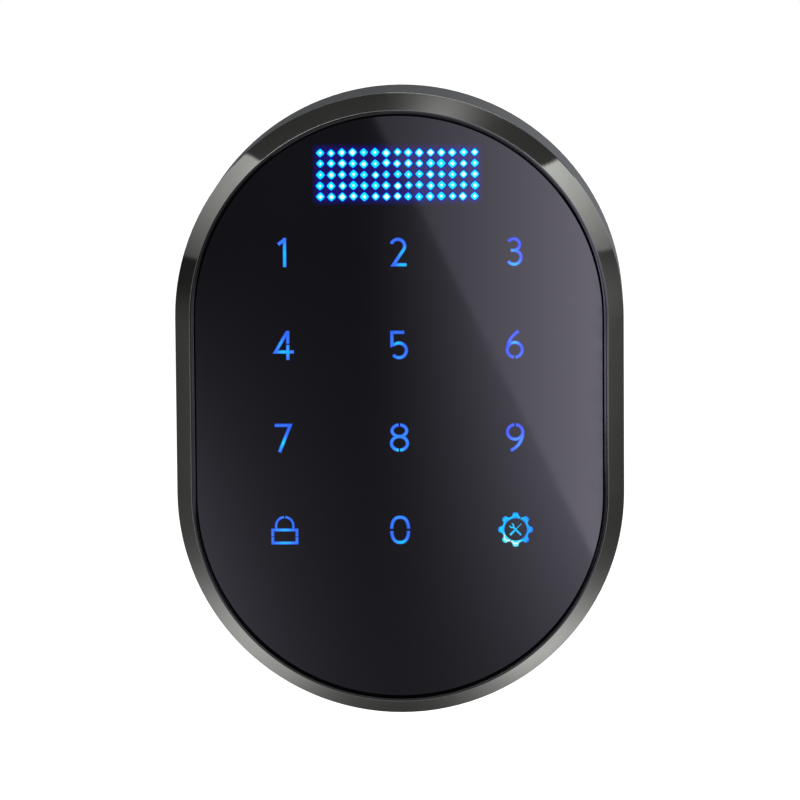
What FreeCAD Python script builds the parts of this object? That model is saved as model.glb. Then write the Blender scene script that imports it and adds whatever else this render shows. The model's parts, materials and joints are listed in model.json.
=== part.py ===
"""Outside keypad unit of a smart deadbolt: a stadium-shaped die-cast case with a glass touch panel.

The frame: the origin is where the tailpiece's axis meets the door's outside face. +X is to the right
of a person who faces the keypad, +Y goes into the door and +Z is up, so the keypad faces -Y.
A level such as glass_back is a distance in front of the door's face, in millimetres.
"""

import FreeCAD, Part
import Sketcher
import math
import os
import re
import sys

sys.path.append(os.path.join(FreeCAD.getHomePath(), "Mod", "PartDesign"))
from fcgear import fcgear, involute

Vector = FreeCAD.Vector
doc = FreeCAD.newDocument("keypad_lock")

# ---------------------------------------------------------------- driving sizes, in millimetres
SIZES = {
    # the case
    "half_width": 40, "straight_half": 15.8, "body_rise": 8, "body_depth": 24,
    "bezel_width": 3.2, "bezel_fall": 4, "lip_round": 0.12, "back_gap": 0.3, "shell_wall": 2.4,
    "ledge_width": 2, "ledge_thick": 1.4, "corner_reach": 33.8, "corner_radius": 4,
    "lip_width": 0.4, "edge_round": 0.5,
    # the glass and the layers stuck behind it
    "glass_gap": 0.3, "glass_recess": 0.3, "glass_thick": 2, "glass_bevel": 0.35,
    "tape_thick": 0.3, "tape_gap": 0.3, "film_thick": 0.2, "diffuser_thick": 0.5,
    # keys and dot display
    "key_pitch_x": 20.6, "key_pitch_z": 16.6, "key_rise": 2.9, "key_window": 9.4, "key_corner": 1.5,
    "matrix_drop": 14.2, "matrix_pitch": 1.95, "cell_size": 1.5,
    "matrix_columns": 15, "matrix_rows": 5, "led_width": 1, "led_height": 0.5, "led_thick": 0.4,
    "key_led_width": 1.6, "key_led_height": 0.8, "key_led_thick": 0.6,
    # boards and frames
    "stack_gap": 0.4, "inner_gap": 0.3, "notch_gap": 0.4, "baffle_thick": 3.1,
    "board_thick": 1.2, "frame_wall": 1.5, "frame_floor": 1, "component_room": 2.6,
    "board_screw_x": 10.3, "board_screw_radius": 0.8, "board_screw_bite": 2.4,
    "board_head_radius": 1.76,
    "screw_clear": 0.1, "screw_head_thick": 1, "header_width": 12, "header_height": 3,
    "touch_chip_size": 5, "touch_chip_thick": 0.9,
    # gearbox plates
    "drill_plate_thick": 1, "cover_thick": 1, "gearbox_left": 13.5, "gearbox_right": 27,
    "gearbox_low": 13.5, "gearbox_high": 36.5, "gearbox_corner": 3, "pillar_inset": 3,
    "pillar_radius": 2.2, "gearbox_screw_radius": 1, "gearbox_head_radius": 1.8,
    "gearbox_head_thick": 0.6,
    # gear train
    "gear_module": 0.5, "pinion_teeth": 14, "wheel_teeth": 42, "mesh_slack": 0.1, "tooth_tip": 0.85,
    "tooth_root": 1.15, "gear_face": 1.8, "layer_gap": 0.4, "output_face": 2, "output_gap": 0.4,
    "motor_rise": 15.2, "second_angle": 35, "axle_radius": 0.75, "axle_hub": 2, "run_clear": 0.05,
    # spindle
    "journal_radius": 4, "journal_end": 5, "front_journal": 2, "bush_wall": 2, "bush_flange": 1.4,
    "bush_flange_thick": 0.3, "bush_length": 6.2, "hub_wall": 2.5, "clip_groove": 3.4,
    "clip_thick": 0.6, "clip_reach": 5.6, "clip_gap": 0.2, "blade_width": 6, "blade_thick": 2,
    "blade_slot": 0.05, "blade_seat": 3, "blade_end": 46, "magnet_radius": 1.5, "magnet_thick": 1.2,
    "magnet_reach": 7, "sensor_width": 4, "sensor_height": 3, "sensor_thick": 1.5,
    # motor
    "motor_radius": 6, "motor_flat": 10, "motor_length": 12, "shaft_radius": 1, "shaft_depth": 1.8,
    # chassis and rear boss
    "gasket_thick": 1, "gasket_band": 6.6, "gasket_inset": 0.3, "plate_thick": 2.2, "plate_gap": 0.3,
    "seal_groove": 0.8, "seal_height": 0.8, "seal_clear": 0.05, "boss_radius": 25, "boss_wall": 2,
    "boss_length": 12, "boss_cover_thick": 2, "boss_pillar_reach": 19.2, "boss_pillar_radius": 3,
    "case_screw_radius": 1, "case_head_radius": 2.1, "case_screw_bite": 6,
    # mounting posts
    "post_spacing": 38, "post_radius": 3.5, "post_flange": 4.2, "post_flange_thick": 1,
    "post_end": 20, "post_thread": 2.1, "post_thread_depth": 16,
    # cable outlet
    "outlet_drop": 14.5, "outlet_width": 10, "outlet_height": 5, "grommet_wall": 1.4,
    "grommet_lip": 1.2, "grommet_lip_thick": 1,
    # tamper switch
    "tamper_x": 22, "tamper_z": 38, "plunger_radius": 1.5, "plunger_flange": 2.6,
    "plunger_flange_thick": 1, "plunger_proud": 1.5, "plunger_inside": 5.2, "tamper_body": 6,
    "tamper_body_thick": 4.2, "tamper_button": 0.8, "spring_wire": 0.3, "spring_turns": 4,
    # emergency power port
    "port_width": 12.6, "port_reach": 4, "port_rear": 3.5, "flap_gap": 0.2, "flap_thick": 1.2,
    "flap_inset": 0.1, "flap_hinge_level": 5, "flap_hinge_height": 1.35, "knuckle_radius": 0.95,
    "pin_radius": 0.45, "pin_bite": 1, "receptacle_width": 9, "receptacle_height": 3.3,
    "receptacle_depth": 7, "receptacle_wall": 0.35, "receptacle_corner": 1.2, "tongue_width": 6.6,
    "tongue_thick": 0.7, "port_housing_width": 15, "port_housing_height": 3.4,
    "port_housing_rise": 0.9, "port_board_width": 11, "port_board_height": 9, "port_board_thick": 0.8,
}

sheet = doc.addObject("Spreadsheet::Sheet", "Sizes")
for row, (alias, size) in enumerate(SIZES.items(), start=1):
    sheet.set(f"A{row}", alias)
    sheet.set(f"B{row}", str(size))
    sheet.setAlias(f"B{row}", alias)
doc.recompute()

# ---------------------------------------------------------------- places worked out from the sizes
PLACES = {
    # levels in front of the door's face
    "glass_front": "body_depth - glass_recess",
    "glass_back": "glass_front - glass_thick",
    "ledge_front": "glass_back - tape_thick",
    "ledge_back": "ledge_front - ledge_thick",
    "film_back": "glass_back - film_thick",
    "diffuser_back": "film_back - diffuser_thick",
    "touch_back": "ledge_back",
    "baffle_back": "ledge_back - baffle_thick",
    "board_back": "baffle_back - board_thick",
    "frame_floor_front": "board_back - component_room",
    "frame_floor_back": "frame_floor_front - frame_floor",
    "cover_front": "frame_floor_back - drill_plate_thick",
    "cover_back": "cover_front - cover_thick",
    "first_front": "cover_back - 0.5 * layer_gap",
    "first_back": "first_front - gear_face",
    "second_front": "first_back - layer_gap",
    "second_back": "second_front - gear_face",
    "output_front": "second_back - layer_gap",
    "output_back": "output_front - output_face",
    "chassis_front": "gasket_thick + plate_thick",
    "boss_back": "-boss_length",
    "boss_cover_front": "boss_cover_thick - boss_length",
    "motor_back": "chassis_front - motor_length",
    "bush_back": "chassis_front - bush_length",
    # outlines, as half widths of stadiums that share the case's two centres
    "opening": "half_width - bezel_width",
    "glass_half": "opening - glass_gap",
    "ledge_half": "opening - ledge_width",
    "inner_half": "ledge_half - inner_gap",
    "cavity_half": "half_width - shell_wall",
    "stack_half": "cavity_half - stack_gap",
    "plate_half": "cavity_half - plate_gap",
    # centres
    "top_centre": "body_rise + straight_half",
    "low_centre": "body_rise - straight_half",
    "corner_x": "corner_reach * cos(45)",
    "corner_top": "top_centre + corner_x",
    "corner_low": "low_centre - corner_x",
    "key_middle": "body_rise + key_rise",
    "matrix_z": "top_centre + half_width - matrix_drop",
    "body_low": "low_centre - half_width",
    "cavity_low": "low_centre - cavity_half",
    # gear train: three equal stages on a kite of equal sides
    "axle_gap": "0.5 * gear_module * (pinion_teeth + wheel_teeth) + mesh_slack",
    "second_x": "axle_gap * cos(second_angle)",
    "second_z": "axle_gap * sin(second_angle)",
    "kite": "sqrt(axle_gap ^ 2 / (second_x ^ 2 + (motor_rise - second_z) ^ 2) - 0.25)",
    "first_x": "0.5 * second_x + (motor_rise - second_z) * kite",
    "first_z": "0.5 * (motor_rise + second_z) + second_x * kite",
    "boss_inner": "boss_radius - boss_wall",
    "pillar_xz": "boss_pillar_reach * cos(45)",
    "hub_radius": "journal_radius + run_clear + bush_wall + hub_wall",
    "bush_outer": "journal_radius + run_clear + bush_wall",
    "flap_hinge_z": "body_low + flap_hinge_height",
    "port_level": "frame_floor_back - port_board_thick - 0.5 * receptacle_height",
    "port_front": "port_level + port_reach",
    "port_housing_low": "cavity_low + port_housing_rise",
    "clip_front": "bush_back - clip_gap",
    "clip_back": "clip_front - clip_thick",
    "plunger_flange_back": "chassis_front + 0.1",
    "plunger_flange_front": "plunger_flange_back + plunger_flange_thick",
    "tamper_back": "frame_floor_back - tamper_body_thick",
    "gasket_half": "plate_half - gasket_inset",
}

WORD = re.compile(r"[a-z_]\w*")


def sizes_in(text):
    """A formula in plain names, as an expression that reads the sheet."""
    def one(match):
        word = match.group()
        if word in PLACES:
            return "(" + sizes_in(PLACES[word]) + ")"
        return "Sizes." + word if word in SIZES else word
    return WORD.sub(one, str(text))


def number(text):
    """The same formula's value now, for shapes made without a parametric feature."""
    return float(sheet.evalExpression(sizes_in(text)))


# ---------------------------------------------------------------- sketch helpers
FRONT, UP = "XZ_Plane", "XY_Plane"


def new_body(name):
    body = doc.addObject("PartDesign::Body", name)
    body.Label = name
    return body


def new_sketch(body, name, level, plane=FRONT):
    """A sketch parallel to the door, at a level in front of its face; or level with the floor."""
    sketch = body.newObject("Sketcher::SketchObject", body.Name + "_" + name)
    support = [f for f in body.Origin.OriginFeatures if f.Role == plane][0]
    sketch.AttachmentSupport = [(support, "")]
    sketch.MapMode = "FlatFace"
    sketch.setExpression("AttachmentOffset.Base.z", sizes_in(level))
    return sketch


def bind(sketch, kind, where, formula):
    """A driving dimension whose value is a formula; a place on an axis is a constraint instead."""
    if formula == "0":
        axis = -2 if kind == "DistanceX" else -1
        sketch.addConstraint(Sketcher.Constraint("PointOnObject", where[-2], where[-1], axis))
        return
    index = sketch.addConstraint(Sketcher.Constraint(kind, *where, number(formula)))
    sketch.setExpression(f"Constraints[{index}]", sizes_in(formula))


def circle(sketch, x, z, radius):
    shape = Part.Circle(Vector(number(x), number(z), 0), Vector(0, 0, 1), number(radius))
    index = sketch.addGeometry(shape)
    bind(sketch, "DistanceX", (-1, 1, index, 3), x)
    bind(sketch, "DistanceY", (-1, 1, index, 3), z)
    bind(sketch, "Radius", (index,), radius)


def stadium(sketch, radius):
    """Two half circles about the case's two centres, joined by upright sides."""
    r, top, low = number(radius), number("top_centre"), number("low_centre")
    axis = Vector(0, 0, 1)
    upper = sketch.addGeometry(Part.ArcOfCircle(Part.Circle(Vector(0, top, 0), axis, r), 0, math.pi))
    left = sketch.addGeometry(Part.LineSegment(Vector(-r, top, 0), Vector(-r, low, 0)))
    under = Part.Circle(Vector(0, low, 0), axis, r)
    lower = sketch.addGeometry(Part.ArcOfCircle(under, math.pi, 2 * math.pi))
    right = sketch.addGeometry(Part.LineSegment(Vector(r, low, 0), Vector(r, top, 0)))
    loop = (upper, left, lower, right)
    for one, other in zip(loop, loop[1:] + loop[:1]):
        sketch.addConstraint(Sketcher.Constraint("Tangent", one, 2, other, 1))
    sketch.addConstraint(Sketcher.Constraint("Vertical", left))
    for arc, centre in ((upper, "top_centre"), (lower, "low_centre")):
        sketch.addConstraint(Sketcher.Constraint("PointOnObject", arc, 3, -2))
        bind(sketch, "DistanceY", (-1, 1, arc, 3), centre)
    bind(sketch, "Radius", (upper,), radius)


def rectangle(sketch, left, right, low, high):
    """A box with square corners, each side placed by its own formula."""
    x0, x1, z0, z1 = (number(side) for side in (left, right, low, high))
    corners = [Vector(x0, z0, 0), Vector(x1, z0, 0), Vector(x1, z1, 0), Vector(x0, z1, 0)]
    first = sketch.GeometryCount
    for start, end in zip(corners, corners[1:] + corners[:1]):
        sketch.addGeometry(Part.LineSegment(start, end))
    for side in range(4):
        follow = first + (side + 1) % 4
        sketch.addConstraint(Sketcher.Constraint("Coincident", first + side, 2, follow, 1))
        kind = "Vertical" if side % 2 else "Horizontal"
        sketch.addConstraint(Sketcher.Constraint(kind, first + side))
    bind(sketch, "DistanceX", (-1, 1, first, 1), left)
    bind(sketch, "DistanceX", (-1, 1, first + 1, 1), right)
    bind(sketch, "DistanceY", (-1, 1, first, 1), low)
    bind(sketch, "DistanceY", (-1, 1, first + 2, 1), high)


def round_rectangle(sketch, left, right, low, high, radius):
    """A box whose corners are quarter circles of one radius."""
    x0, x1, z0, z1, r = (number(side) for side in (left, right, low, high, radius))
    centres = [(x1 - r, z0 + r), (x1 - r, z1 - r), (x0 + r, z1 - r), (x0 + r, z0 + r)]
    first = sketch.GeometryCount
    for turn, (x, z) in enumerate(centres):
        start = (turn - 1) * math.pi / 2
        shape = Part.Circle(Vector(x, z, 0), Vector(0, 0, 1), r)
        sketch.addGeometry(Part.ArcOfCircle(shape, start, start + math.pi / 2))
    for turn in range(4):
        here, there = first + turn, first + (turn + 1) % 4
        shape = Part.LineSegment(sketch.getPoint(here, 2), sketch.getPoint(there, 1))
        side = sketch.addGeometry(shape)
        sketch.addConstraint(Sketcher.Constraint("Tangent", here, 2, side, 1))
        sketch.addConstraint(Sketcher.Constraint("Tangent", side, 2, there, 1))
        sketch.addConstraint(Sketcher.Constraint("Horizontal" if turn % 2 else "Vertical", side))
    for turn in range(1, 4):
        sketch.addConstraint(Sketcher.Constraint("Equal", first, first + turn))
    bind(sketch, "Radius", (first,), radius)
    for turn, kind, place in (
        (0, "DistanceX", f"({right}) - ({radius})"), (2, "DistanceX", f"({left}) + ({radius})"),
        (0, "DistanceY", f"({low}) + ({radius})"), (2, "DistanceY", f"({high}) - ({radius})"),
    ):
        bind(sketch, kind, (-1, 1, first + turn, 3), place)


def pad(body, name, back, front, draw):
    """Material between two levels, on the outline that draw puts in the sketch."""
    sketch = new_sketch(body, name + "_outline", back)
    draw(sketch)
    feature = body.newObject("PartDesign::Pad", body.Name + "_" + name)
    feature.Profile = sketch
    feature.setExpression("Length", sizes_in(f"({front}) - ({back})"))
    sketch.Visibility = False
    doc.recompute()
    return feature


def pocket(body, name, back, front, draw):
    """A cut between two levels. It has to take material away, or the build stops."""
    before = body.Shape.Volume
    sketch = new_sketch(body, name + "_outline", back)
    draw(sketch)
    feature = body.newObject("PartDesign::Pocket", body.Name + "_" + name)
    feature.Profile = sketch
    feature.Reversed = True
    feature.setExpression("Length", sizes_in(f"({front}) - ({back})"))
    sketch.Visibility = False
    doc.recompute()
    if not body.Shape.Volume < before - 1e-6:
        raise RuntimeError(f"{body.Name}_{name} cuts nothing")
    return feature


def grid_pattern(body, feature, across, up):
    """Repeats a feature along the sketch's two axes: (pitch, count) across, and (pitch, count) up."""
    multi = body.newObject("PartDesign::MultiTransform", feature.Name + "_grid")
    multi.Originals = [feature]
    steps = []
    for axis, (pitch, count) in (("H_Axis", across), ("V_Axis", up)):
        step = body.newObject("PartDesign::LinearPattern", feature.Name + "_" + axis)
        step.Direction = (feature.Profile[0], [axis])
        step.setExpression("Occurrences", sizes_in(count))
        step.setExpression("Length", sizes_in(f"({pitch}) * ({count} - 1)"))
        steps.append(step)
    multi.Transformations = steps
    body.Tip = multi
    doc.recompute()
    return multi


# ---------------------------------------------------------------- primitive helpers
TO_FRONT = FreeCAD.Rotation(Vector(1, 0, 0), 90)  # turns a cylinder's own axis towards the keypad's front


def place(item, x, level, z):
    item.setExpression("Placement.Base.x", sizes_in(x))
    item.setExpression("Placement.Base.y", sizes_in(f"-({level})"))
    item.setExpression("Placement.Base.z", sizes_in(z))


def rod(name, radius, back, front, x="0", z="0"):
    """A cylinder square to the door, between two levels."""
    item = doc.addObject("Part::Cylinder", name)
    item.setExpression("Radius", sizes_in(radius))
    item.setExpression("Height", sizes_in(f"({front}) - ({back})"))
    item.Placement.Rotation = TO_FRONT
    place(item, x, back, z)
    return item


def cone(name, back_radius, front_radius, back, front, x="0", z="0"):
    item = doc.addObject("Part::Cone", name)
    item.setExpression("Radius1", sizes_in(back_radius))
    item.setExpression("Radius2", sizes_in(front_radius))
    item.setExpression("Height", sizes_in(f"({front}) - ({back})"))
    item.Placement.Rotation = TO_FRONT
    place(item, x, back, z)
    return item


def block(name, width, height, back, front, x="0", z="0"):
    """A box centred on (x, z), between two levels."""
    item = doc.addObject("Part::Box", name)
    item.setExpression("Length", sizes_in(width))
    item.setExpression("Width", sizes_in(f"({front}) - ({back})"))
    item.setExpression("Height", sizes_in(height))
    place(item, f"({x}) - 0.5 * ({width})", front, f"({z}) - 0.5 * ({height})")
    return item


def union(name, *items):
    item = doc.addObject("Part::MultiFuse", name)
    item.Shapes = list(items)
    return item


def cut(name, base, *tools):
    item = doc.addObject("Part::Cut", name)
    item.Base = base
    item.Tool = tools[0] if len(tools) == 1 else union(name + "_tools", *tools)
    return item


def group(name, items):
    """Identical pieces that share a name, as separate solids."""
    item = doc.addObject("Part::Compound", name)
    item.Links = list(items)
    return item


def free_shape(name, shape, placement=FreeCAD.Placement()):
    item = doc.addObject("Part::Feature", name)
    item.Shape = shape
    item.Placement = placement
    return item


def four_corners(sketch, radius):
    for x in ("corner_x", "-corner_x"):
        for z in ("corner_top", "corner_low"):
            circle(sketch, x, z, radius)


def key_pocket(body, back, front):
    """The twelve light windows, three across and four up."""
    def window(sketch):
        x, z, half = "-key_pitch_x", "key_middle - 1.5 * key_pitch_z", "0.5 * key_window"
        sides = (f"{x} - {half}", f"{x} + {half}", f"{z} - {half}", f"{z} + {half}")
        round_rectangle(sketch, *sides, "key_corner")
    first = pocket(body, "key_window", back, front, window)
    return grid_pattern(body, first, ("key_pitch_x", "3"), ("key_pitch_z", "4"))


def matrix_window(sketch):
    """One opening over every dot of the display."""
    half_x = "0.5 * ((matrix_columns - 1) * matrix_pitch + cell_size)"
    half_z = "0.5 * ((matrix_rows - 1) * matrix_pitch + cell_size)"
    sides = (f"-({half_x})", half_x, f"matrix_z - ({half_z})", f"matrix_z + ({half_z})")
    rectangle(sketch, *sides)


def matrix_cells(body, back, front):
    """One small window to each dot of the display."""
    def cell(sketch):
        x = "-0.5 * (matrix_columns - 1) * matrix_pitch"
        z = "matrix_z - 0.5 * (matrix_rows - 1) * matrix_pitch"
        half = "0.5 * cell_size"
        rectangle(sketch, f"{x} - {half}", f"{x} + {half}", f"{z} - {half}", f"{z} + {half}")
    first = pocket(body, "cell", back, front, cell)
    return grid_pattern(body, first, ("matrix_pitch", "matrix_columns"), ("matrix_pitch", "matrix_rows"))


def edges_on(shape, level, half_width):
    """Names of the edges on one level whose outline is a stadium of this half width."""
    names = []
    for index, edge in enumerate(shape.Edges, start=1):
        box = edge.BoundBox
        flat = abs(box.YMin + number(level)) < 1e-4 and abs(box.YMax + number(level)) < 1e-4
        reach = max(abs(box.XMin), abs(box.XMax))
        if flat and abs(reach - number(half_width)) < 1e-4:
            names.append(f"Edge{index}")
    return names


def dress(body, kind, name, edges, **formulas):
    """A fillet or chamfer on the body's last feature, with its sizes bound to formulas."""
    base = body.Tip
    feature = body.newObject("PartDesign::" + kind, body.Name + "_" + name)
    feature.Base = (base, edges)
    for size, formula in formulas.items():
        feature.setExpression(size, sizes_in(formula))
    doc.recompute()
    return feature


def screw(name, x, z, seat, tip, head_radius, shank_radius, head_thick):
    """A pan-head screw on a seat level, its tip in front of the seat or behind it, with a cross drive."""
    away = 1 if number(seat) < number(tip) else -1
    outer = f"({seat}) - {away} * ({head_thick})"
    drive = f"({outer}) + {away} * 0.6 * ({head_thick})"
    def between(make, suffix, *sizes, low, high):
        low, high = sorted((low, high), key=number)
        return make(name + suffix, *sizes, low, high, x, z)
    head = between(rod, "_head", head_radius, low=seat, high=outer)
    shank = between(rod, "_shank", shank_radius, low=seat, high=tip)
    long_arm, short_arm = f"1.1 * ({head_radius})", f"0.26 * ({head_radius})"
    flat_slot = between(block, "_slot", long_arm, short_arm, low=outer, high=drive)
    tall_slot = between(block, "_cross", short_arm, long_arm, low=outer, high=drive)
    return cut(name, union(name + "_blank", head, shank), flat_slot, tall_slot)


# ---------------------------------------------------------------- the case and the glass stack
def make_escutcheon():
    """Die-cast case: outer shell, sloped bezel, glass ledge and four corner pillars for the screws."""
    body = new_body("escutcheon")
    pad(body, "shell", "back_gap", "body_depth", lambda s: stadium(s, "half_width"))
    rim = edges_on(body.Shape, "body_depth", "half_width")
    slope = dress(body, "Chamfer", "bezel", rim, Size="bezel_fall", Size2="bezel_width - lip_width")
    slope.ChamferType = 1
    doc.recompute()
    if not edges_on(body.Shape, "body_depth - bezel_fall", "half_width"):
        slope.FlipDirection = True
        doc.recompute()
    corner = edges_on(body.Shape, "body_depth - bezel_fall", "half_width")
    dress(body, "Fillet", "edge", corner, Radius="edge_round")
    pocket(body, "opening", "ledge_front", "body_depth", lambda s: stadium(s, "opening"))
    lip = edges_on(body.Shape, "body_depth", "opening")
    lip += edges_on(body.Shape, "body_depth", "opening + lip_width")
    dress(body, "Fillet", "lip", lip, Radius="lip_round")
    pocket(body, "ledge", "ledge_back", "ledge_front", lambda s: stadium(s, "ledge_half"))
    pocket(body, "cavity", "back_gap", "ledge_back", lambda s: stadium(s, "cavity_half"))
    pad(body, "pillars", "chassis_front", "ledge_back", lambda s: four_corners(s, "corner_radius"))
    bite = "chassis_front + case_screw_bite + 1"
    pocket(body, "threads", "chassis_front", bite,
           lambda s: four_corners(s, "case_screw_radius + run_clear"))
    cut_port(body)
    return body


def cut_port(body):
    """The power port's window through the case's underside, and the blind holes for the flap's pin."""
    def window(sketch):
        rectangle(sketch, "-0.5 * port_width", "0.5 * port_width", "-(port_front)", "-(port_rear)")
    before = body.Shape.Volume
    sketch = new_sketch(body, "window_outline", "body_low - 1", UP)
    window(sketch)
    hole = body.newObject("PartDesign::Pocket", "escutcheon_window")
    hole.Profile = sketch
    hole.Reversed = True
    hole.setExpression("Length", sizes_in("shell_wall + 2.5"))
    doc.recompute()
    side = new_sketch(body, "pin_outline", "-0.5 * port_width - pin_bite", "YZ_Plane")
    circle(side, "-flap_hinge_level", "flap_hinge_z", "pin_radius + 0.02")
    bore = body.newObject("PartDesign::Pocket", "escutcheon_pin_bore")
    bore.Profile = side
    bore.Reversed = True
    bore.setExpression("Length", sizes_in("port_width + 2 * pin_bite"))
    doc.recompute()
    if not body.Shape.Volume < before - 100:
        raise RuntimeError("the port cuts nothing")


def make_glass_lens():
    body = new_body("glass_lens")
    pad(body, "sheet", "glass_back", "glass_front", lambda s: stadium(s, "glass_half"))
    rim = edges_on(body.Shape, "glass_front", "glass_half")
    dress(body, "Chamfer", "bevel", rim, Size="glass_bevel")
    return body


def make_lens_adhesive():
    body = new_body("lens_adhesive")
    pad(body, "tape", "ledge_front", "glass_back", lambda s: stadium(s, "glass_half - tape_gap"))
    pocket(body, "inside", "ledge_front", "glass_back", lambda s: stadium(s, "ledge_half + 0.1"))
    return body


def make_legend_film():
    """Black film behind the glass, open at the keys and at each dot of the display."""
    body = new_body("legend_film")
    pad(body, "film", "film_back", "glass_back", lambda s: stadium(s, "inner_half"))
    key_pocket(body, "film_back", "glass_back")
    matrix_cells(body, "film_back", "glass_back")
    return body


def make_diffuser_sheet():
    body = new_body("diffuser_sheet")
    pad(body, "sheet", "diffuser_back", "film_back", lambda s: stadium(s, "inner_half"))
    return body


def make_touch_board():
    """The board with the touch pads: a light window in the middle of each pad."""
    body = new_body("touch_board")
    pad(body, "board", "ledge_back", "diffuser_back", lambda s: stadium(s, "inner_half"))
    pocket(body, "display", "ledge_back", "diffuser_back", matrix_window)
    key_pocket(body, "ledge_back", "diffuser_back")
    return body


def stack_plate(body, back, front):
    """A full-size layer behind the ledge, notched round the case's corner pillars."""
    pad(body, "plate", back, front, lambda s: stadium(s, "stack_half"))
    pocket(body, "notches", back, front, lambda s: four_corners(s, "corner_radius + notch_gap"))


def board_screw_grid(sketch, radius):
    for x in ("board_screw_x", "-board_screw_x"):
        for z in ("key_middle + key_pitch_z", "key_middle - key_pitch_z"):
            circle(sketch, x, z, radius)


HEADER = ("0", "low_centre - 19", "header_width", "header_height")
TOUCH_CHIP = ("-13", "low_centre - 19", "touch_chip_size", "touch_chip_size")


def around(spot, clear):
    """The sides of a box with some room round it."""
    x, z, width, height = spot
    across, up = f"0.5 * {width} + {clear}", f"0.5 * {height} + {clear}"
    return f"{x} - ({across})", f"{x} + {across}", f"{z} - ({up})", f"{z} + {up}"


def make_light_baffle():
    """Moulded grid that keeps the light of one key or dot out of the next."""
    body = new_body("light_baffle")
    stack_plate(body, "baffle_back", "ledge_back")
    holes = "baffle_back + board_screw_bite + 0.2"
    pocket(body, "screw_holes", "baffle_back", holes,
           lambda s: board_screw_grid(s, "board_screw_radius + run_clear"))
    pocket(body, "header_slot", "baffle_back", "ledge_back",
           lambda s: rectangle(s, *around(HEADER, "inner_gap")))
    pocket(body, "chip_recess", "ledge_back - touch_chip_thick - inner_gap", "ledge_back",
           lambda s: rectangle(s, *around(TOUCH_CHIP, "inner_gap")))
    key_pocket(body, "baffle_back", "ledge_back")
    matrix_cells(body, "baffle_back", "ledge_back")
    return body


def make_main_board():
    body = new_body("main_board")
    stack_plate(body, "board_back", "baffle_back")
    pocket(body, "screw_holes", "board_back", "baffle_back",
           lambda s: board_screw_grid(s, "board_screw_radius + screw_clear"))
    return body


def make_mid_frame():
    """Moulded tray: its floor parts the boards from the gearbox, its wall stands on the chassis."""
    body = new_body("mid_frame")
    stack_plate(body, "chassis_front", "board_back")
    inside = "stack_half - frame_wall"
    pocket(body, "front_room", "frame_floor_front", "board_back", lambda s: stadium(s, inside))
    pocket(body, "rear_room", "chassis_front", "frame_floor_back", lambda s: stadium(s, inside))
    half = "0.5 * port_housing_width + notch_gap"
    pocket(body, "port_gap", "chassis_front", "frame_floor_back",
           lambda s: rectangle(s, f"-({half})", half, "cavity_low", "cavity_low + 6"))
    return body


# ---------------------------------------------------------------- electronics
def make_matrix_leds():
    """One small lamp in the middle of each display cell."""
    pitch, columns, rows = (number(n) for n in ("matrix_pitch", "matrix_columns", "matrix_rows"))
    width, height, thick = (number(n) for n in ("led_width", "led_height", "led_thick"))
    front = -(number("baffle_back") + thick)
    lamps = []
    for column in range(round(columns)):
        for row in range(round(rows)):
            x = (column - (columns - 1) / 2) * pitch - width / 2
            z = number("matrix_z") + (row - (rows - 1) / 2) * pitch - height / 2
            lamps.append(Part.makeBox(width, thick, height, Vector(x, front, z)))
    return free_shape("matrix_leds", Part.makeCompound(lamps))


def make_key_leds():
    lamps = []
    width, height, thick = "key_led_width", "key_led_height", "key_led_thick"
    for column in (-1, 0, 1):
        for row in (-1.5, -0.5, 0.5, 1.5):
            x, z = f"{column} * key_pitch_x", f"key_middle + {row} * key_pitch_z"
            name = f"key_led_{len(lamps) + 1}"
            lamps.append(block(name, width, height, "baffle_back", f"baffle_back + {thick}", x, z))
    return group("key_leds", lamps)


def make_board_parts():
    """The bigger components: name, width, height, thickness and place on the main board's rear."""
    parts = []
    for name, width, height, thick, x, z in (
        ("controller_chip", 7, 7, 0.9, "-14", "low_centre + 22"),
        ("radio_module", 13, 16, 2, "13", "top_centre + 14"),
        ("motor_driver_chip", 4, 4, 0.9, "18", "low_centre + 2"),
        ("motor_socket", 6, 5, 2, "18", "low_centre - 8"),
        ("harness_socket", 9, 5, 2.2, "-11", "low_centre - 15"),
    ):
        parts.append(block(name, width, height, f"board_back - {thick}", "board_back", x, z))
    parts.append(rod("buzzer", "4.5", "board_back - 2.2", "board_back", "-15", "top_centre + 17"))
    header_x, header_z, width, height = HEADER
    parts.append(block("board_header", width, height, "baffle_back", "ledge_back", header_x, header_z))
    x, z, width, height = TOUCH_CHIP
    chip_back = "ledge_back - touch_chip_thick"
    parts.append(block("touch_controller", width, height, chip_back, "ledge_back", x, z))
    return parts


def make_board_screws():
    screws = []
    for x in ("board_screw_x", "-board_screw_x"):
        for z in ("key_middle + key_pitch_z", "key_middle - key_pitch_z"):
            name = f"board_screw_{len(screws) + 1}"
            screws.append(screw(name, x, z, "board_back", "baffle_back + board_screw_bite",
                                "board_head_radius", "board_screw_radius", "screw_head_thick"))
    return group("board_screws", screws)


# ---------------------------------------------------------------- gearbox
GEARBOX_SIDES = ("-gearbox_left", "gearbox_right", "-gearbox_low", "gearbox_high")


def gearbox_corners():
    inset = "pillar_inset"
    return [(x, z) for x in (f"-gearbox_left + {inset}", f"gearbox_right - {inset}")
            for z in (f"-gearbox_low + {inset}", f"gearbox_high - {inset}")]


def gearbox_plate(name, back, front):
    body = new_body(name)
    pad(body, "plate", back, front,
        lambda s: round_rectangle(s, *GEARBOX_SIDES, "gearbox_corner"))
    def holes(sketch):
        for x, z in gearbox_corners():
            circle(sketch, x, z, "gearbox_screw_radius + screw_clear")
    pocket(body, "screw_holes", back, front, holes)
    return body


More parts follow.
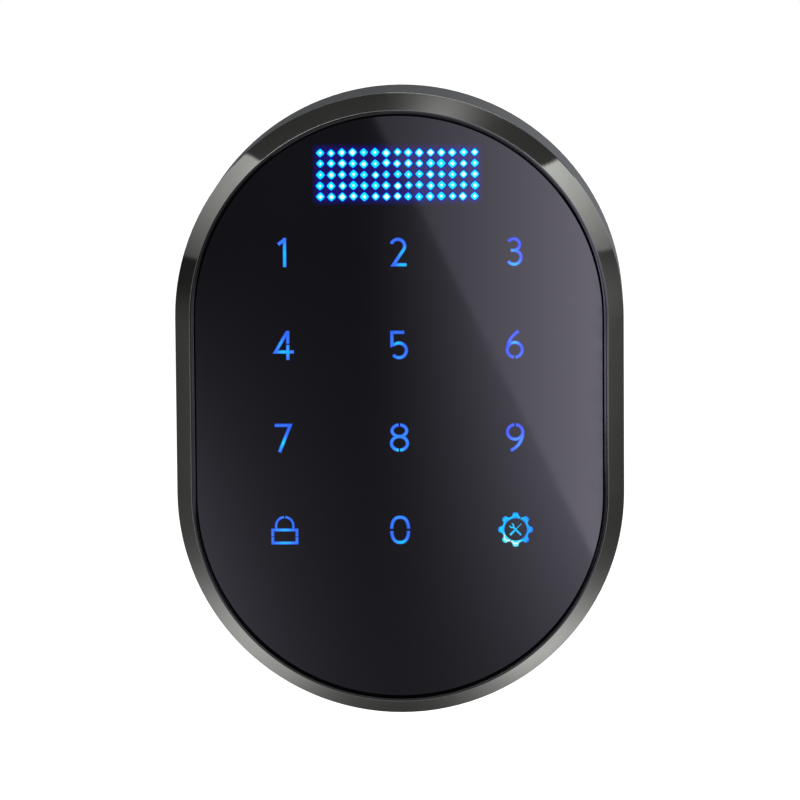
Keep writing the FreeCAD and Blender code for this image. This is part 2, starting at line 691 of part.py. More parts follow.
def make_anti_drill_plate():
    """Hardened plate over the gearbox, counterbored so that its screws lie flush."""
    body = gearbox_plate("anti_drill_plate", "cover_front", "frame_floor_back")
    def heads(sketch):
        for x, z in gearbox_corners():
            circle(sketch, x, z, "gearbox_head_radius + screw_clear")
    pocket(body, "counterbores", "frame_floor_back - gearbox_head_thick", "frame_floor_back", heads)
    return body


def make_gearbox_cover():
    body = gearbox_plate("gearbox_cover", "cover_back", "cover_front")
    def pivots(sketch):
        circle(sketch, "0", "0", "front_journal + run_clear")
        circle(sketch, "first_x", "first_z", "axle_radius + 0.02")
        circle(sketch, "second_x", "second_z", "axle_radius + 0.02")
    pocket(body, "pivots", "cover_back", "cover_front", pivots)
    return body


def make_gearbox_screws():
    screws = []
    for x, z in gearbox_corners():
        name = f"gearbox_screw_{len(screws) + 1}"
        screws.append(screw(name, x, z, "frame_floor_back - gearbox_head_thick", "cover_back - 4",
                            "gearbox_head_radius", "gearbox_screw_radius", "gearbox_head_thick"))
    return group("gearbox_screws", screws)


def gear_solid(teeth, back, front, turn):
    """An involute spur gear about the local Z axis, with one tooth at the angle `turn`."""
    outline = fcgear.FCWireBuilder()
    teeth = round(number(teeth))
    involute.CreateExternalGear(outline, number("gear_module"), teeth, 20, split=True,
                                addCoeff=number("tooth_tip"), dedCoeff=number("tooth_root"),
                                filletCoeff=0.3)
    face = Part.Face(Part.Wire([edge.toShape() for edge in outline.wire]))
    face.rotate(Vector(), Vector(0, 0, 1), turn)
    face.translate(Vector(0, 0, number(back)))
    return face.extrude(Vector(0, 0, number(front) - number(back)))


def drum(radius, back, front):
    return Part.makeCylinder(number(radius), number(front) - number(back), Vector(0, 0, number(back)))


def bearing(start, end):
    """The direction, in degrees, from one axle to the next."""
    x, z = number(end[0]) - number(start[0]), number(end[1]) - number(start[1])
    return math.degrees(math.atan2(z, x))


MOTOR_AXLE = ("0", "motor_rise")
FIRST_AXLE = ("first_x", "first_z")
SECOND_AXLE = ("second_x", "second_z")
OUTPUT_AXLE = ("0", "0")


def gear_feature(name, shape, axle):
    placement = FreeCAD.Placement(Vector(number(axle[0]), 0, number(axle[1])), TO_FRONT)
    return free_shape(name, shape.removeSplitter(), placement)


def gap_towards(start, end, teeth):
    """The turn that puts a gear's tooth gap on the line from its axle to its neighbour's."""
    return bearing(start, end) + 180 / round(number(teeth))


def make_gears():
    """Pinion, two compound gears and the output gear; each driven wheel has a gap where the tooth is."""
    pinion = gear_solid("pinion_teeth", "first_back", "first_front", bearing(MOTOR_AXLE, FIRST_AXLE))
    pinion = pinion.cut(drum("shaft_radius + 0.02", "first_back", "first_front"))
    made = [gear_feature("motor_pinion", pinion, MOTOR_AXLE)]
    first = gear_solid("wheel_teeth", "first_back", "first_front",
                       gap_towards(FIRST_AXLE, MOTOR_AXLE, "wheel_teeth"))
    first = first.fuse([
        gear_solid("pinion_teeth", "second_back", "first_back", bearing(FIRST_AXLE, SECOND_AXLE)),
        drum("axle_hub", "chassis_front + 0.5 * layer_gap", "second_back"),
    ])
    first = first.cut(drum("axle_radius + run_clear", "chassis_front", "first_front"))
    made.append(gear_feature("first_gear", first, FIRST_AXLE))
    second = gear_solid("wheel_teeth", "second_back", "second_front",
                        gap_towards(SECOND_AXLE, FIRST_AXLE, "wheel_teeth"))
    second = second.fuse([
        gear_solid("pinion_teeth", "output_back", "second_back", bearing(SECOND_AXLE, OUTPUT_AXLE)),
        drum("axle_hub", "second_front", "first_front"),
    ])
    second = second.cut(drum("axle_radius + run_clear", "chassis_front", "first_front"))
    made.append(gear_feature("second_gear", second, SECOND_AXLE))
    made.append(make_output_gear())
    return made


def make_output_gear():
    """The quarter-turn gear, its two journals, the slot for the tailpiece and the magnet's seat."""
    turn = gap_towards(OUTPUT_AXLE, SECOND_AXLE, "wheel_teeth")
    gear = gear_solid("wheel_teeth", "output_back", "output_front", turn)
    gear = gear.fuse([
        drum("front_journal", "output_front", "cover_front - 0.2"),
        drum("journal_radius", "clip_front + run_clear", "output_back"),
        drum("clip_groove", "clip_back - run_clear", "clip_front + run_clear"),
        drum("journal_radius", "-journal_end", "clip_back - run_clear"),
    ])
    width, height = number("blade_thick + 2 * blade_slot"), number("blade_width + 2 * blade_slot")
    low = -number("journal_end")
    slot = Part.makeBox(width, height, number("blade_seat") - low, Vector(-width / 2, -height / 2, low))
    seat = drum("magnet_radius + run_clear", "output_front - magnet_thick - run_clear", "output_front")
    seat.translate(Vector(-number("magnet_reach"), 0, 0))
    return gear_feature("output_gear", gear.cut([slot, seat]), OUTPUT_AXLE)


def make_gear_axles():
    low = "chassis_front - 1.4"
    return group("gear_axles", [
        rod("first_axle", "axle_radius", low, "cover_front", *FIRST_AXLE),
        rod("second_axle", "axle_radius", low, "cover_front", *SECOND_AXLE),
    ])


def make_output_bush():
    outer = union("output_bush_outer", rod("output_bush_sleeve", "bush_outer", "bush_back", "chassis_front"),
                  rod("output_bush_flange", "bush_outer + bush_flange", "chassis_front",
                      "chassis_front + bush_flange_thick"))
    bore = rod("output_bush_bore", "journal_radius + run_clear", "bush_back",
               "chassis_front + bush_flange_thick")
    return cut("output_bush", outer, bore)


def make_output_clip():
    ring = cut("output_clip_ring", rod("output_clip_disc", "clip_reach", "clip_back", "clip_front"),
               rod("output_clip_bore", "clip_groove + 0.02", "clip_back", "clip_front"))
    mouth = block("output_clip_mouth", "2 * clip_groove - 1.2", "clip_reach", "clip_back", "clip_front",
                  "0", "-0.5 * clip_reach")
    return cut("output_clip", ring, mouth)


def make_tailpiece():
    """Flat blade that the hub turns; its far end is chamfered so that it finds the inside unit's slot."""
    body = new_body("tailpiece")
    half, tall = "0.5 * blade_thick", "0.5 * blade_width"
    pad(body, "blade", "-blade_end", "blade_seat",
        lambda s: rectangle(s, f"-({half})", half, f"-({tall})", tall))
    end = [f"Edge{n}" for n, edge in enumerate(body.Shape.Edges, start=1)
           if abs(edge.BoundBox.YMin - number("blade_end")) < 1e-4]
    dress(body, "Chamfer", "tip", end, Size="0.6")
    return body


def make_motor():
    """Small can motor with flats above and below, and a blind bore where its shaft comes out."""
    can = rod("motor_can", "motor_radius", "motor_back", "chassis_front", *MOTOR_AXLE)
    flats = block("motor_flats", "2 * motor_radius + 1", "motor_flat", "motor_back", "chassis_front",
                  *MOTOR_AXLE)
    both = doc.addObject("Part::Common", "motor_body")
    both.Base, both.Tool = can, flats
    bore = rod("motor_bore", "shaft_radius + run_clear", "chassis_front - shaft_depth", "chassis_front",
               *MOTOR_AXLE)
    return cut("motor", both, bore)


def make_drive_parts():
    shaft_end = "cover_back - 0.1"
    magnet_x = "-magnet_reach"
    return [
        make_motor(),
        rod("motor_shaft", "shaft_radius", "chassis_front - shaft_depth + run_clear", shaft_end,
            *MOTOR_AXLE),
        block("motor_cushion", "8", "6", "boss_cover_front", "motor_back", *MOTOR_AXLE),
        rod("position_magnet", "magnet_radius", "output_front - magnet_thick", "output_front", magnet_x),
        block("position_sensor", "sensor_width", "sensor_height", "cover_back - sensor_thick",
              "cover_back", magnet_x),
    ]


# ---------------------------------------------------------------- chassis, rear boss and door side
def four_pillars(sketch, radius):
    for x in ("pillar_xz", "-pillar_xz"):
        for z in ("pillar_xz", "-pillar_xz"):
            circle(sketch, x, z, radius)


def two_posts(sketch, radius):
    for x in ("0.5 * post_spacing", "-0.5 * post_spacing"):
        circle(sketch, x, "0", radius)


def outlet(sketch, clear):
    half, tall = f"0.5 * outlet_width + {clear}", f"0.5 * outlet_height + {clear}"
    sides = (f"-({half})", half, f"-outlet_drop - ({tall})", f"-outlet_drop + {tall}")
    round_rectangle(sketch, *sides, f"2 + {clear}")


def make_back_chassis():
    """Die-cast plate that closes the case, with the boss that fills the door's bore."""
    body = new_body("back_chassis")
    groove_back = "gasket_thick + 0.5 * (plate_thick - seal_height)"
    groove_front = f"{groove_back} + seal_height"
    pad(body, "rear_skin", "gasket_thick", groove_back, lambda s: stadium(s, "plate_half"))
    pad(body, "groove", groove_back, groove_front, lambda s: stadium(s, "plate_half - seal_groove"))
    pad(body, "front_skin", groove_front, "chassis_front", lambda s: stadium(s, "plate_half"))
    pad(body, "boss", "boss_back", "gasket_thick", lambda s: circle(s, "0", "0", "boss_radius"))
    pocket(body, "boss_room", "boss_back", "gasket_thick", lambda s: circle(s, "0", "0", "boss_inner"))
    pad(body, "hub", "bush_back", "gasket_thick", lambda s: circle(s, "0", "0", "hub_radius"))
    pad(body, "boss_pillars", "boss_cover_front", "gasket_thick",
        lambda s: four_pillars(s, "boss_pillar_radius"))
    def gear_pillars(sketch):
        for x, z in gearbox_corners():
            circle(sketch, x, z, "pillar_radius")
    pad(body, "gearbox_pillars", "chassis_front", "cover_back", gear_pillars)
    bore_chassis(body)
    return body


def bore_chassis(body):
    """Every hole of the chassis, each from the size of what goes in it and a clearance."""
    pocket(body, "bush_bore", "bush_back", "chassis_front",
           lambda s: circle(s, "0", "0", "bush_outer + 0.02"))
    def motor_hole(sketch):
        half, tall = "motor_radius + screw_clear", "0.5 * motor_flat + screw_clear"
        round_rectangle(sketch, f"-({half})", half, f"motor_rise - ({tall})", f"motor_rise + {tall}", "3")
    def through(sketch):
        two_posts(sketch, "post_radius + 0.02")
        circle(sketch, "-tamper_x", "tamper_z", "plunger_radius + run_clear")
        four_corners(sketch, "case_screw_radius + screw_clear")
    pocket(body, "motor_hole", "gasket_thick", "chassis_front", motor_hole)
    pocket(body, "outlet", "gasket_thick", "chassis_front", lambda s: outlet(s, "0"))
    pocket(body, "round_holes", "gasket_thick", "chassis_front", through)
    pocket(body, "counterbores", "gasket_thick", "gasket_thick + screw_head_thick + screw_clear",
           lambda s: four_corners(s, "case_head_radius + screw_clear"))
    def axle_holes(sketch):
        circle(sketch, *FIRST_AXLE, "axle_radius + 0.02")
        circle(sketch, *SECOND_AXLE, "axle_radius + 0.02")
    pocket(body, "axle_holes", "chassis_front - 1.4", "chassis_front", axle_holes)
    def gearbox_threads(sketch):
        for x, z in gearbox_corners():
            circle(sketch, x, z, "gearbox_screw_radius + run_clear")
    pocket(body, "gearbox_threads", "cover_back - 4.5", "cover_back", gearbox_threads)
    pocket(body, "boss_threads", "boss_cover_front", "boss_cover_front + 6",
           lambda s: four_pillars(s, "case_screw_radius + run_clear"))


def make_housing_seal():
    body = new_body("housing_seal")
    back = "gasket_thick + 0.5 * (plate_thick - seal_height) + seal_clear"
    front = "gasket_thick + 0.5 * (plate_thick + seal_height) - seal_clear"
    pad(body, "ring", back, front, lambda s: stadium(s, "cavity_half - seal_clear"))
    pocket(body, "inside", back, front,
           lambda s: stadium(s, "plate_half - seal_groove + seal_clear"))
    return body


def make_case_screws():
    screws = []
    for x in ("corner_x", "-corner_x"):
        for z in ("corner_top", "corner_low"):
            name = f"case_screw_{len(screws) + 1}"
            screws.append(screw(name, x, z, "gasket_thick + screw_head_thick + screw_clear",
                                "chassis_front + case_screw_bite", "case_head_radius",
                                "case_screw_radius", "screw_head_thick"))
    return group("case_screws", screws)


def make_boss_cover():
    """Disc that closes the boss, open for the spindle, the posts and the cable."""
    body = new_body("boss_cover")
    pad(body, "disc", "boss_back", "boss_cover_front",
        lambda s: circle(s, "0", "0", "boss_inner - 0.5 * plate_gap"))
    def holes(sketch):
        circle(sketch, "0", "0", "journal_radius")
        two_posts(sketch, "post_radius + 0.5 * plate_gap")
        four_pillars(sketch, "case_screw_radius + screw_clear")
    pocket(body, "holes", "boss_back", "boss_cover_front", holes)
    pocket(body, "counterbores", "boss_back", "boss_back + screw_head_thick + screw_clear",
           lambda s: four_pillars(s, "case_head_radius + screw_clear"))
    pocket(body, "outlet", "boss_back", "boss_cover_front", lambda s: outlet(s, "grommet_wall"))
    return body


def make_boss_cover_screws():
    screws = []
    for x in ("pillar_xz", "-pillar_xz"):
        for z in ("pillar_xz", "-pillar_xz"):
            name = f"boss_cover_screw_{len(screws) + 1}"
            screws.append(screw(name, x, z, "boss_back + screw_head_thick + screw_clear",
                                "boss_cover_front + 5", "case_head_radius", "case_screw_radius",
                                "screw_head_thick"))
    return group("boss_cover_screws", screws)


def make_cable_grommet():
    """Rubber ring that lines the cable outlet, with a lip on each side of the boss cover."""
    body = new_body("cable_grommet")
    rear, front = "boss_back - grommet_lip_thick", "boss_cover_front + grommet_lip_thick"
    neck, lip = "grommet_wall - 0.02", "grommet_wall + grommet_lip"
    pad(body, "rear_lip", rear, "boss_back", lambda s: outlet(s, lip))
    pad(body, "neck", "boss_back", "boss_cover_front", lambda s: outlet(s, neck))
    pad(body, "front_lip", "boss_cover_front", front, lambda s: outlet(s, lip))
    pocket(body, "hole", rear, front, lambda s: outlet(s, "0"))
    return body


def make_mounting_posts():
    """Two internally threaded posts, flanged inside the chassis, that the through bolts pull on."""
    posts = []
    for side in ("-", ""):
        x, name = f"{side}0.5 * post_spacing", f"mounting_post_{len(posts) + 1}"
        shank = rod(name + "_shank", "post_radius", "-post_end", "chassis_front", x)
        flange = rod(name + "_flange", "post_flange", "chassis_front",
                     "chassis_front + post_flange_thick", x)
        thread = rod(name + "_thread", "post_thread", "-post_end", "post_thread_depth - post_end", x)
        posts.append(cut(name, union(name + "_blank", shank, flange), thread))
    return group("mounting_posts", posts)


def make_door_gasket():
    """Foam ring against the door, with holes over the case screws."""
    body = new_body("door_gasket")
    pad(body, "ring", "0", "gasket_thick", lambda s: stadium(s, "gasket_half"))
    pocket(body, "inside", "0", "gasket_thick", lambda s: stadium(s, "gasket_half - gasket_band"))
    pocket(body, "screw_access", "0", "gasket_thick",
           lambda s: four_corners(s, "case_head_radius + 2 * screw_clear"))
    return body


# ---------------------------------------------------------------- tamper switch
TAMPER = ("-tamper_x", "tamper_z")


def make_tamper_parts():
    """A sprung plunger that the door holds in, and the switch that it works."""
    stem = rod("tamper_plunger_stem", "plunger_radius", "-plunger_proud", "plunger_inside", *TAMPER)
    flange = rod("tamper_plunger_flange", "plunger_flange", "plunger_flange_back",
                 "plunger_flange_front", *TAMPER)
    plunger = union("tamper_plunger", stem, flange)
    case = block("tamper_switch_case", "tamper_body", "tamper_body", "tamper_back", "frame_floor_back",
                 *TAMPER)
    button = rod("tamper_switch_button", "0.8 * plunger_radius", "tamper_back - tamper_button",
                 "tamper_back", *TAMPER)
    return [plunger, union("tamper_switch", case, button), make_tamper_spring()]


def make_tamper_spring():
    """Compression spring between the plunger's flange and the switch: a round wire on a helix.

    The wire's section is drawn in the plane through the helix's axis."""
    wire, turns = number("spring_wire"), number("spring_turns")
    low, high = number("plunger_flange_front"), number("tamper_back")
    radius = number("0.5 * (plunger_radius + plunger_flange)")
    length = high - low - wire - number("run_clear")
    helix = Part.makeHelix(length / turns, length, radius)
    section = Part.Wire(Part.makeCircle(wire / 2, Vector(radius, 0, 0), Vector(0, 1, 0)))
    coil = Part.Wire(helix.Edges).makePipeShell([section], True, True)
    start = low + wire / 2 + number("run_clear") / 2
    base = Vector(-number("tamper_x"), -start, number("tamper_z"))
    return free_shape("tamper_spring", coil, FreeCAD.Placement(base, TO_FRONT))


# ---------------------------------------------------------------- emergency power port
def make_port_receptacle():
    """Metal shell with a tongue inside, open at the underside of the case."""
    body = new_body("port_receptacle")
    low, high = "cavity_low", "cavity_low + receptacle_depth"
    def outline(sketch, inset):
        half, tall = f"0.5 * receptacle_width - {inset}", f"0.5 * receptacle_height - {inset}"
        sides = (f"-({half})", half, f"-port_level - ({tall})", f"-port_level + {tall}")
        round_rectangle(sketch, *sides, f"receptacle_corner - {inset}")
    def upright(kind, name, start, end, draw):
        sketch = new_sketch(body, name + "_outline", start, UP)
        draw(sketch)
        feature = body.newObject("PartDesign::" + kind, "port_receptacle_" + name)
        feature.Profile = sketch
        feature.Reversed = kind == "Pocket"
        feature.setExpression("Length", sizes_in(f"({end}) - ({start})"))
        doc.recompute()
    upright("Pad", "shell", low, high, lambda s: outline(s, "0"))
    upright("Pocket", "mouth", low, f"{high} - 1", lambda s: outline(s, "receptacle_wall"))
    half, tall = "0.5 * tongue_width", "0.5 * tongue_thick"
    upright("Pad", "tongue", f"{low} + 0.8", high,
            lambda s: rectangle(s, f"-({half})", half, f"-port_level - ({tall})", f"-port_level + {tall}"))
    return body


def make_port_housing():
    """Plastic block between chassis and tray that holds the receptacle in line with the window."""
    middle = "port_housing_low + 0.5 * port_housing_height"
    body = block("port_housing_block", "port_housing_width", "port_housing_height", "chassis_front",
                 "frame_floor_back", "0", middle)
    slot = block("port_housing_slot", "receptacle_width + screw_clear", "port_housing_height + 1",
                 "port_level - 0.5 * receptacle_height - 0.5 * screw_clear", "frame_floor_back", "0",
                 middle)
    return cut("port_housing", body, slot)


def make_port_flap():
    """Door of the power port: a slice of the case's own curve, with a knuckle for its pin."""
    outer, inner = "half_width - flap_inset", "half_width - flap_inset - flap_thick"
    back, front = "flap_hinge_level", "port_front - flap_gap"
    skin = cut("port_flap_skin", rod("port_flap_outer", outer, back, front, "0", "low_centre"),
               rod("port_flap_inner", inner, back, front, "0", "low_centre"))
    width = "port_width - 2 * flap_gap"
    frame = block("port_flap_frame", width, "6", back, front, "0", "body_low")
    leaf = doc.addObject("Part::Common", "port_flap_leaf")
    leaf.Base, leaf.Tool = skin, frame
    knuckle = cross_rod("port_flap_knuckle", "knuckle_radius", width)
    bore = cross_rod("port_flap_bore", "pin_radius + run_clear", width)
    return cut("port_flap", union("port_flap_blank", leaf, knuckle), bore)


def cross_rod(name, radius, width):
    """A cylinder along X on the flap's hinge axis."""
    item = doc.addObject("Part::Cylinder", name)
    item.setExpression("Radius", sizes_in(radius))
    item.setExpression("Height", sizes_in(width))
    item.Placement.Rotation = FreeCAD.Rotation(Vector(0, 1, 0), 90)
    place(item, f"-0.5 * ({width})", "flap_hinge_level", "flap_hinge_z")
    return item


def make_port_parts():
    board_z = "port_housing_low + port_housing_height + 0.5 * port_board_height"
    return [
        make_port_receptacle(),
        make_port_housing(),
        block("port_board", "port_board_width", "port_board_height",
              "frame_floor_back - port_board_thick", "frame_floor_back", "0", board_z),
        make_port_flap(),
        cross_rod("flap_pin", "pin_radius", "port_width + 2 * pin_bite - 0.1"),
    ]


# ---------------------------------------------------------------- the whole unit
def build():
    made = [make_escutcheon(), make_glass_lens(), make_lens_adhesive(), make_legend_film()]
    made += [make_diffuser_sheet(), make_touch_board(), make_light_baffle(), make_main_board()]
    made += [make_mid_frame(), make_matrix_leds(), make_key_leds(), *make_board_parts()]
    made += [make_board_screws(), make_anti_drill_plate()]
    made += [make_gearbox_cover(), make_gearbox_screws(), *make_gears(), make_gear_axles()]
    made += [make_output_bush(), make_output_clip(), make_tailpiece(), *make_drive_parts()]
    made += [make_back_chassis(), make_housing_seal(), make_case_screws(), make_boss_cover()]
    made += [make_boss_cover_screws(), make_cable_grommet(), make_mounting_posts()]
    made += [make_door_gasket(), *make_tamper_parts(), *make_port_parts()]
    return made


def check(made):
    """Every object has to be sound, and every piece a valid solid, before anything is written."""
    doc.recompute()
    for item in doc.Objects:
        if "Invalid" in item.State or "Error" in item.State:
            raise RuntimeError(f"{item.Label} failed: {item.State}")
    for piece in made:
        if piece.Shape.isNull() or not piece.Shape.isValid() or not piece.Shape.Solids:
            raise RuntimeError(f"{piece.Label} isn't a valid solid")


pieces = build()
check(pieces)
os.makedirs("parts", exist_ok=True)
for piece in pieces:
    piece.Shape.exportStep(f"parts/{piece.Label}.step")
    print(f"{piece.Label}: {len(piece.Shape.Solids)} solid(s), {piece.Shape.Volume:.2f} mm3")
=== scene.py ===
# %% [markdown]
# # A keypad smart lock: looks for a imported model
# The construction is a finished model already: case, glass, boards, gears, plates and screws stand in one
# frame, in metres, with the door at y = 0 and the front towards -y. This notebook gives each of them a
# finish, adds what only light shows (the dot display and the key legends), and sets up a small studio.

# %% Load the frame
import json
import math

import bmesh
import bpy
import numpy as np
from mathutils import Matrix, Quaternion, Vector


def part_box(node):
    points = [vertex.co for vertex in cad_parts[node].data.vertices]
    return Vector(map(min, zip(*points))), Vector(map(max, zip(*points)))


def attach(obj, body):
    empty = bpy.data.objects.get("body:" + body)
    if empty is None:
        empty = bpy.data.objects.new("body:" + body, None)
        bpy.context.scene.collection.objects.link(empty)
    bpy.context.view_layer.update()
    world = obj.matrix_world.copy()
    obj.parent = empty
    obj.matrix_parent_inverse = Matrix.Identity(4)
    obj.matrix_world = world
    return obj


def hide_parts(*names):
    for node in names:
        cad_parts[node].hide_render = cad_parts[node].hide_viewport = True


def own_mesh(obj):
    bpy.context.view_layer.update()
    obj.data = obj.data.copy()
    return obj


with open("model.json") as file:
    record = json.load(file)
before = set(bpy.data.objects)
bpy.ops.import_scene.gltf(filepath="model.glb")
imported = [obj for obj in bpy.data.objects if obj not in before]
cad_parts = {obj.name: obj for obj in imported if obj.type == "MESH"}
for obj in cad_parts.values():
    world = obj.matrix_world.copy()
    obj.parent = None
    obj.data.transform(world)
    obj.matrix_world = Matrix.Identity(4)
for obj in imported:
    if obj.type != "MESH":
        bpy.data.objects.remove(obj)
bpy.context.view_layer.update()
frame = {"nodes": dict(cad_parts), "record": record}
MM = 0.001

# %% [markdown]
# ## Two helpers for materials
# Colours are picked on a screen, so they are sRGB hex values, while a shader works in linear light.
# One function turns the one into the other. A second one adds any node with its settings and links, which
# keeps each finish short enough to read.

# %% Colour and node helpers
def linear(colour):
    """Linear colour of an sRGB hex: c / 12.92 near black, else ((c + 0.055) / 1.055) to the power 2.4."""
    part = np.array([int(colour[i:i + 2], 16) for i in (1, 3, 5)]) / 255
    curve = np.where(part < 0.04045, part / 12.92, ((part + 0.055) / 1.055) ** 2.4)
    return (*curve.tolist(), 1.0)


def add_node(tree, kind, inputs=None, stops=None, **settings):
    """Adds a node: inputs are values or other sockets by name, stops are the colours of a ramp."""
    node = tree.nodes.new("ShaderNode" + kind)
    for key, value in settings.items():
        setattr(node, key, value)
    for key, value in (inputs or {}).items():
        if isinstance(value, bpy.types.NodeSocket):
            tree.links.new(value, node.inputs[key])
        else:
            node.inputs[key].default_value = value
    for index, (position, colour) in enumerate(stops or []):
        ramp = node.color_ramp.elements
        stop = ramp[index] if index < 2 else ramp.new(position)
        stop.position, stop.color = position, linear(colour)
    return node


# %% [markdown]
# ## What all real surfaces share
# No moulded, plated or pressed surface is even. Its colour drifts over some millimetres, its gloss changes
# where it was handled or polished, and its grain catches light. Two noises of different real sizes show
# that. They read object coordinates in metres, so a noise scale is 1000 divided by the size in millimetres.

# %% A surface that varies
def varied_surface(name, colours, patch_mm, rough, grain_mm, grain_deep_mm, metallic=0.0, stretch=(1, 1, 1)):
    """A material whose colour, gloss and fine relief vary: returns it with its tree, shader and relief.

    colours: darker and lighter sRGB hex; rough: lowest and highest roughness; stretch: grain squeezed by
    these factors along x, y and z, so that brushing or turning leaves lines.
    """
    material = bpy.data.materials.new(name)
    material.use_nodes = True
    tree = material.node_tree
    shader = tree.nodes["Principled BSDF"]
    shader.inputs["Metallic"].default_value = metallic
    place = add_node(tree, "TexCoord").outputs["Object"]
    patch = add_node(tree, "TexNoise", {"Vector": place, "Scale": 1000 / patch_mm, "Detail": 4.0})
    tint = add_node(tree, "ValToRGB", {"Fac": patch.outputs["Fac"]}, [(0.3, colours[0]), (0.7, colours[1])])
    lines = add_node(tree, "Mapping", {"Vector": place, "Scale": stretch})
    grain = add_node(tree, "TexNoise", {"Vector": lines.outputs[0], "Scale": 1000 / grain_mm, "Detail": 3.0})
    gloss = add_node(tree, "MapRange", {"Value": grain.outputs["Fac"], "From Min": 0.3, "From Max": 0.7,
                                        "To Min": rough[0], "To Max": rough[1]})
    relief = add_node(tree, "Bump", {"Height": grain.outputs["Fac"], "Distance": grain_deep_mm * MM})
    tree.links.new(tint.outputs["Color"], shader.inputs["Base Color"])
    tree.links.new(gloss.outputs["Result"], shader.inputs["Roughness"])
    tree.links.new(relief.outputs["Normal"], shader.inputs["Normal"])
    return material, tree, shader, relief


finishes = {}


# %% [markdown]
# ## The case: black nickel on die-cast zinc
# The front ring is cast, polished and plated with black nickel, a mirror that gives back about a quarter of
# the light. A polished casting is never quite flat: its bevel is crowned across its width, and its sides
# roll a little, and that is what bends the edges of what it mirrors. The crown is a height that falls with
# the square of the distance from the middle of the bevel, added as relief; the roll is a broad noise.
# Next to the glass the plate's colour is painted darker: painted shade for the gap between bezel and glass.

# %% Black nickel
case_low, case_high = (Vector(corner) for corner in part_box("escutcheon"))
half_width = case_high.x
middle = (case_low + case_high) / 2
straight_half = (case_high.z - case_low.z) / 2 - half_width
BEVEL_HALF = 1.4 * MM  # half the bevel's width, so also its middle's distance from the rim
# Inside these distances from the rim the plate is painted darker: painted shade for the gap to the glass.
GAP_SHADE_FULL, GAP_SHADE_NONE = 2.9 * MM, 2.75 * MM  # distances from the rim between which the inner lip darkens
ROLL_WIDE_MM, ROLL_DEEP = 14, 0.10 * MM
EASED_EDGE = 0.14 * MM


def black_nickel():
    """Polished black nickel with a crowned bevel, a slight roll, faint polishing haze and painted shade at its
    inner lip.
    """
    bevel_middle = half_width - BEVEL_HALF
    crown_per_m = 22.0
    material, tree, shader, relief = varied_surface(
        "black_nickel_plate", ("#858583", "#8D8D8B"), patch_mm=9, rough=(0.035, 0.06),
        grain_mm=0.6, grain_deep_mm=0.0002, metallic=1.0)
    place = add_node(tree, "TexCoord").outputs["Object"]
    axes = add_node(tree, "SeparateXYZ", {"Vector": place}).outputs
    height = add_node(tree, "Math", {0: axes["Z"], 1: middle.z}, operation="SUBTRACT")
    height = add_node(tree, "Math", {0: height.outputs[0]}, operation="ABSOLUTE")
    height = add_node(tree, "Math", {0: height.outputs[0], 1: straight_half}, operation="SUBTRACT")
    height = add_node(tree, "Math", {0: height.outputs[0], 1: 0.0}, operation="MAXIMUM")
    arm = add_node(tree, "CombineXYZ", {"X": axes["X"], "Y": height.outputs[0]})
    reach = add_node(tree, "VectorMath", {0: arm.outputs[0]}, operation="LENGTH")
    across = add_node(tree, "Math", {0: reach.outputs["Value"], 1: bevel_middle}, operation="SUBTRACT")
    across = add_node(tree, "Clamp", {"Value": across.outputs[0], "Min": -BEVEL_HALF, "Max": BEVEL_HALF})
    square = add_node(tree, "Math", {0: across.outputs[0], 1: 2.0}, operation="POWER")
    crown = add_node(tree, "Math", {0: square.outputs[0], 1: -crown_per_m}, operation="MULTIPLY")
    roll = add_node(tree, "TexNoise", {"Vector": place, "Scale": 1000 / ROLL_WIDE_MM, "Detail": 0.0})
    roll = add_node(tree, "Math", {0: roll.outputs["Fac"], 1: ROLL_DEEP}, operation="MULTIPLY")
    shape = add_node(tree, "Math", {0: crown.outputs[0], 1: roll.outputs[0]}, operation="ADD")
    eased = add_node(tree, "Bevel", {"Radius": EASED_EDGE}, samples=4)
    bow = add_node(tree, "Bump", {"Height": shape.outputs[0], "Distance": 1.0,
                                  "Normal": eased.outputs["Normal"]})
    tree.links.new(bow.outputs["Normal"], relief.inputs["Normal"])
    plated = shader.inputs["Base Color"].links[0].from_socket
    # Painted shade: inside its inner lip the plate is darkened to #3A3A3C, where the gap to the glass lies in
    # shadow.
    painted_gap_shade = add_node(tree, "MapRange", {"Value": reach.outputs["Value"], "From Min": half_width - GAP_SHADE_FULL,
                                      "From Max": half_width - GAP_SHADE_NONE})
    plate_with_gap_shade = add_node(tree, "MixRGB", {"Fac": painted_gap_shade.outputs[0], "Color1": linear("#3A3A3C"), "Color2": plated})
    tree.links.new(plate_with_gap_shade.outputs[0], shader.inputs["Base Color"])
    return material


finishes["case_metal"] = black_nickel()
print("bevel middle at", round((half_width - BEVEL_HALF) * 1000, 1), "mm from the case's axis")

# %% [markdown]
# ## The front glass
# Toughened glass, printed black on its back, gives a deep, slightly violet black under a sharp reflection.
# Light from the dot display leaks sideways through the print, so a blue haze with soft edges stands around
# the dots. The haze is a soft-edged rectangle: one ramp on |x| times one on the height from its middle,
# uneven through a noise.

# %% Printed glass
matrix_low, matrix_high = (Vector(corner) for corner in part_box("matrix_leds"))
display = (matrix_low + matrix_high) / 2
GLASS_IOR = 1.52


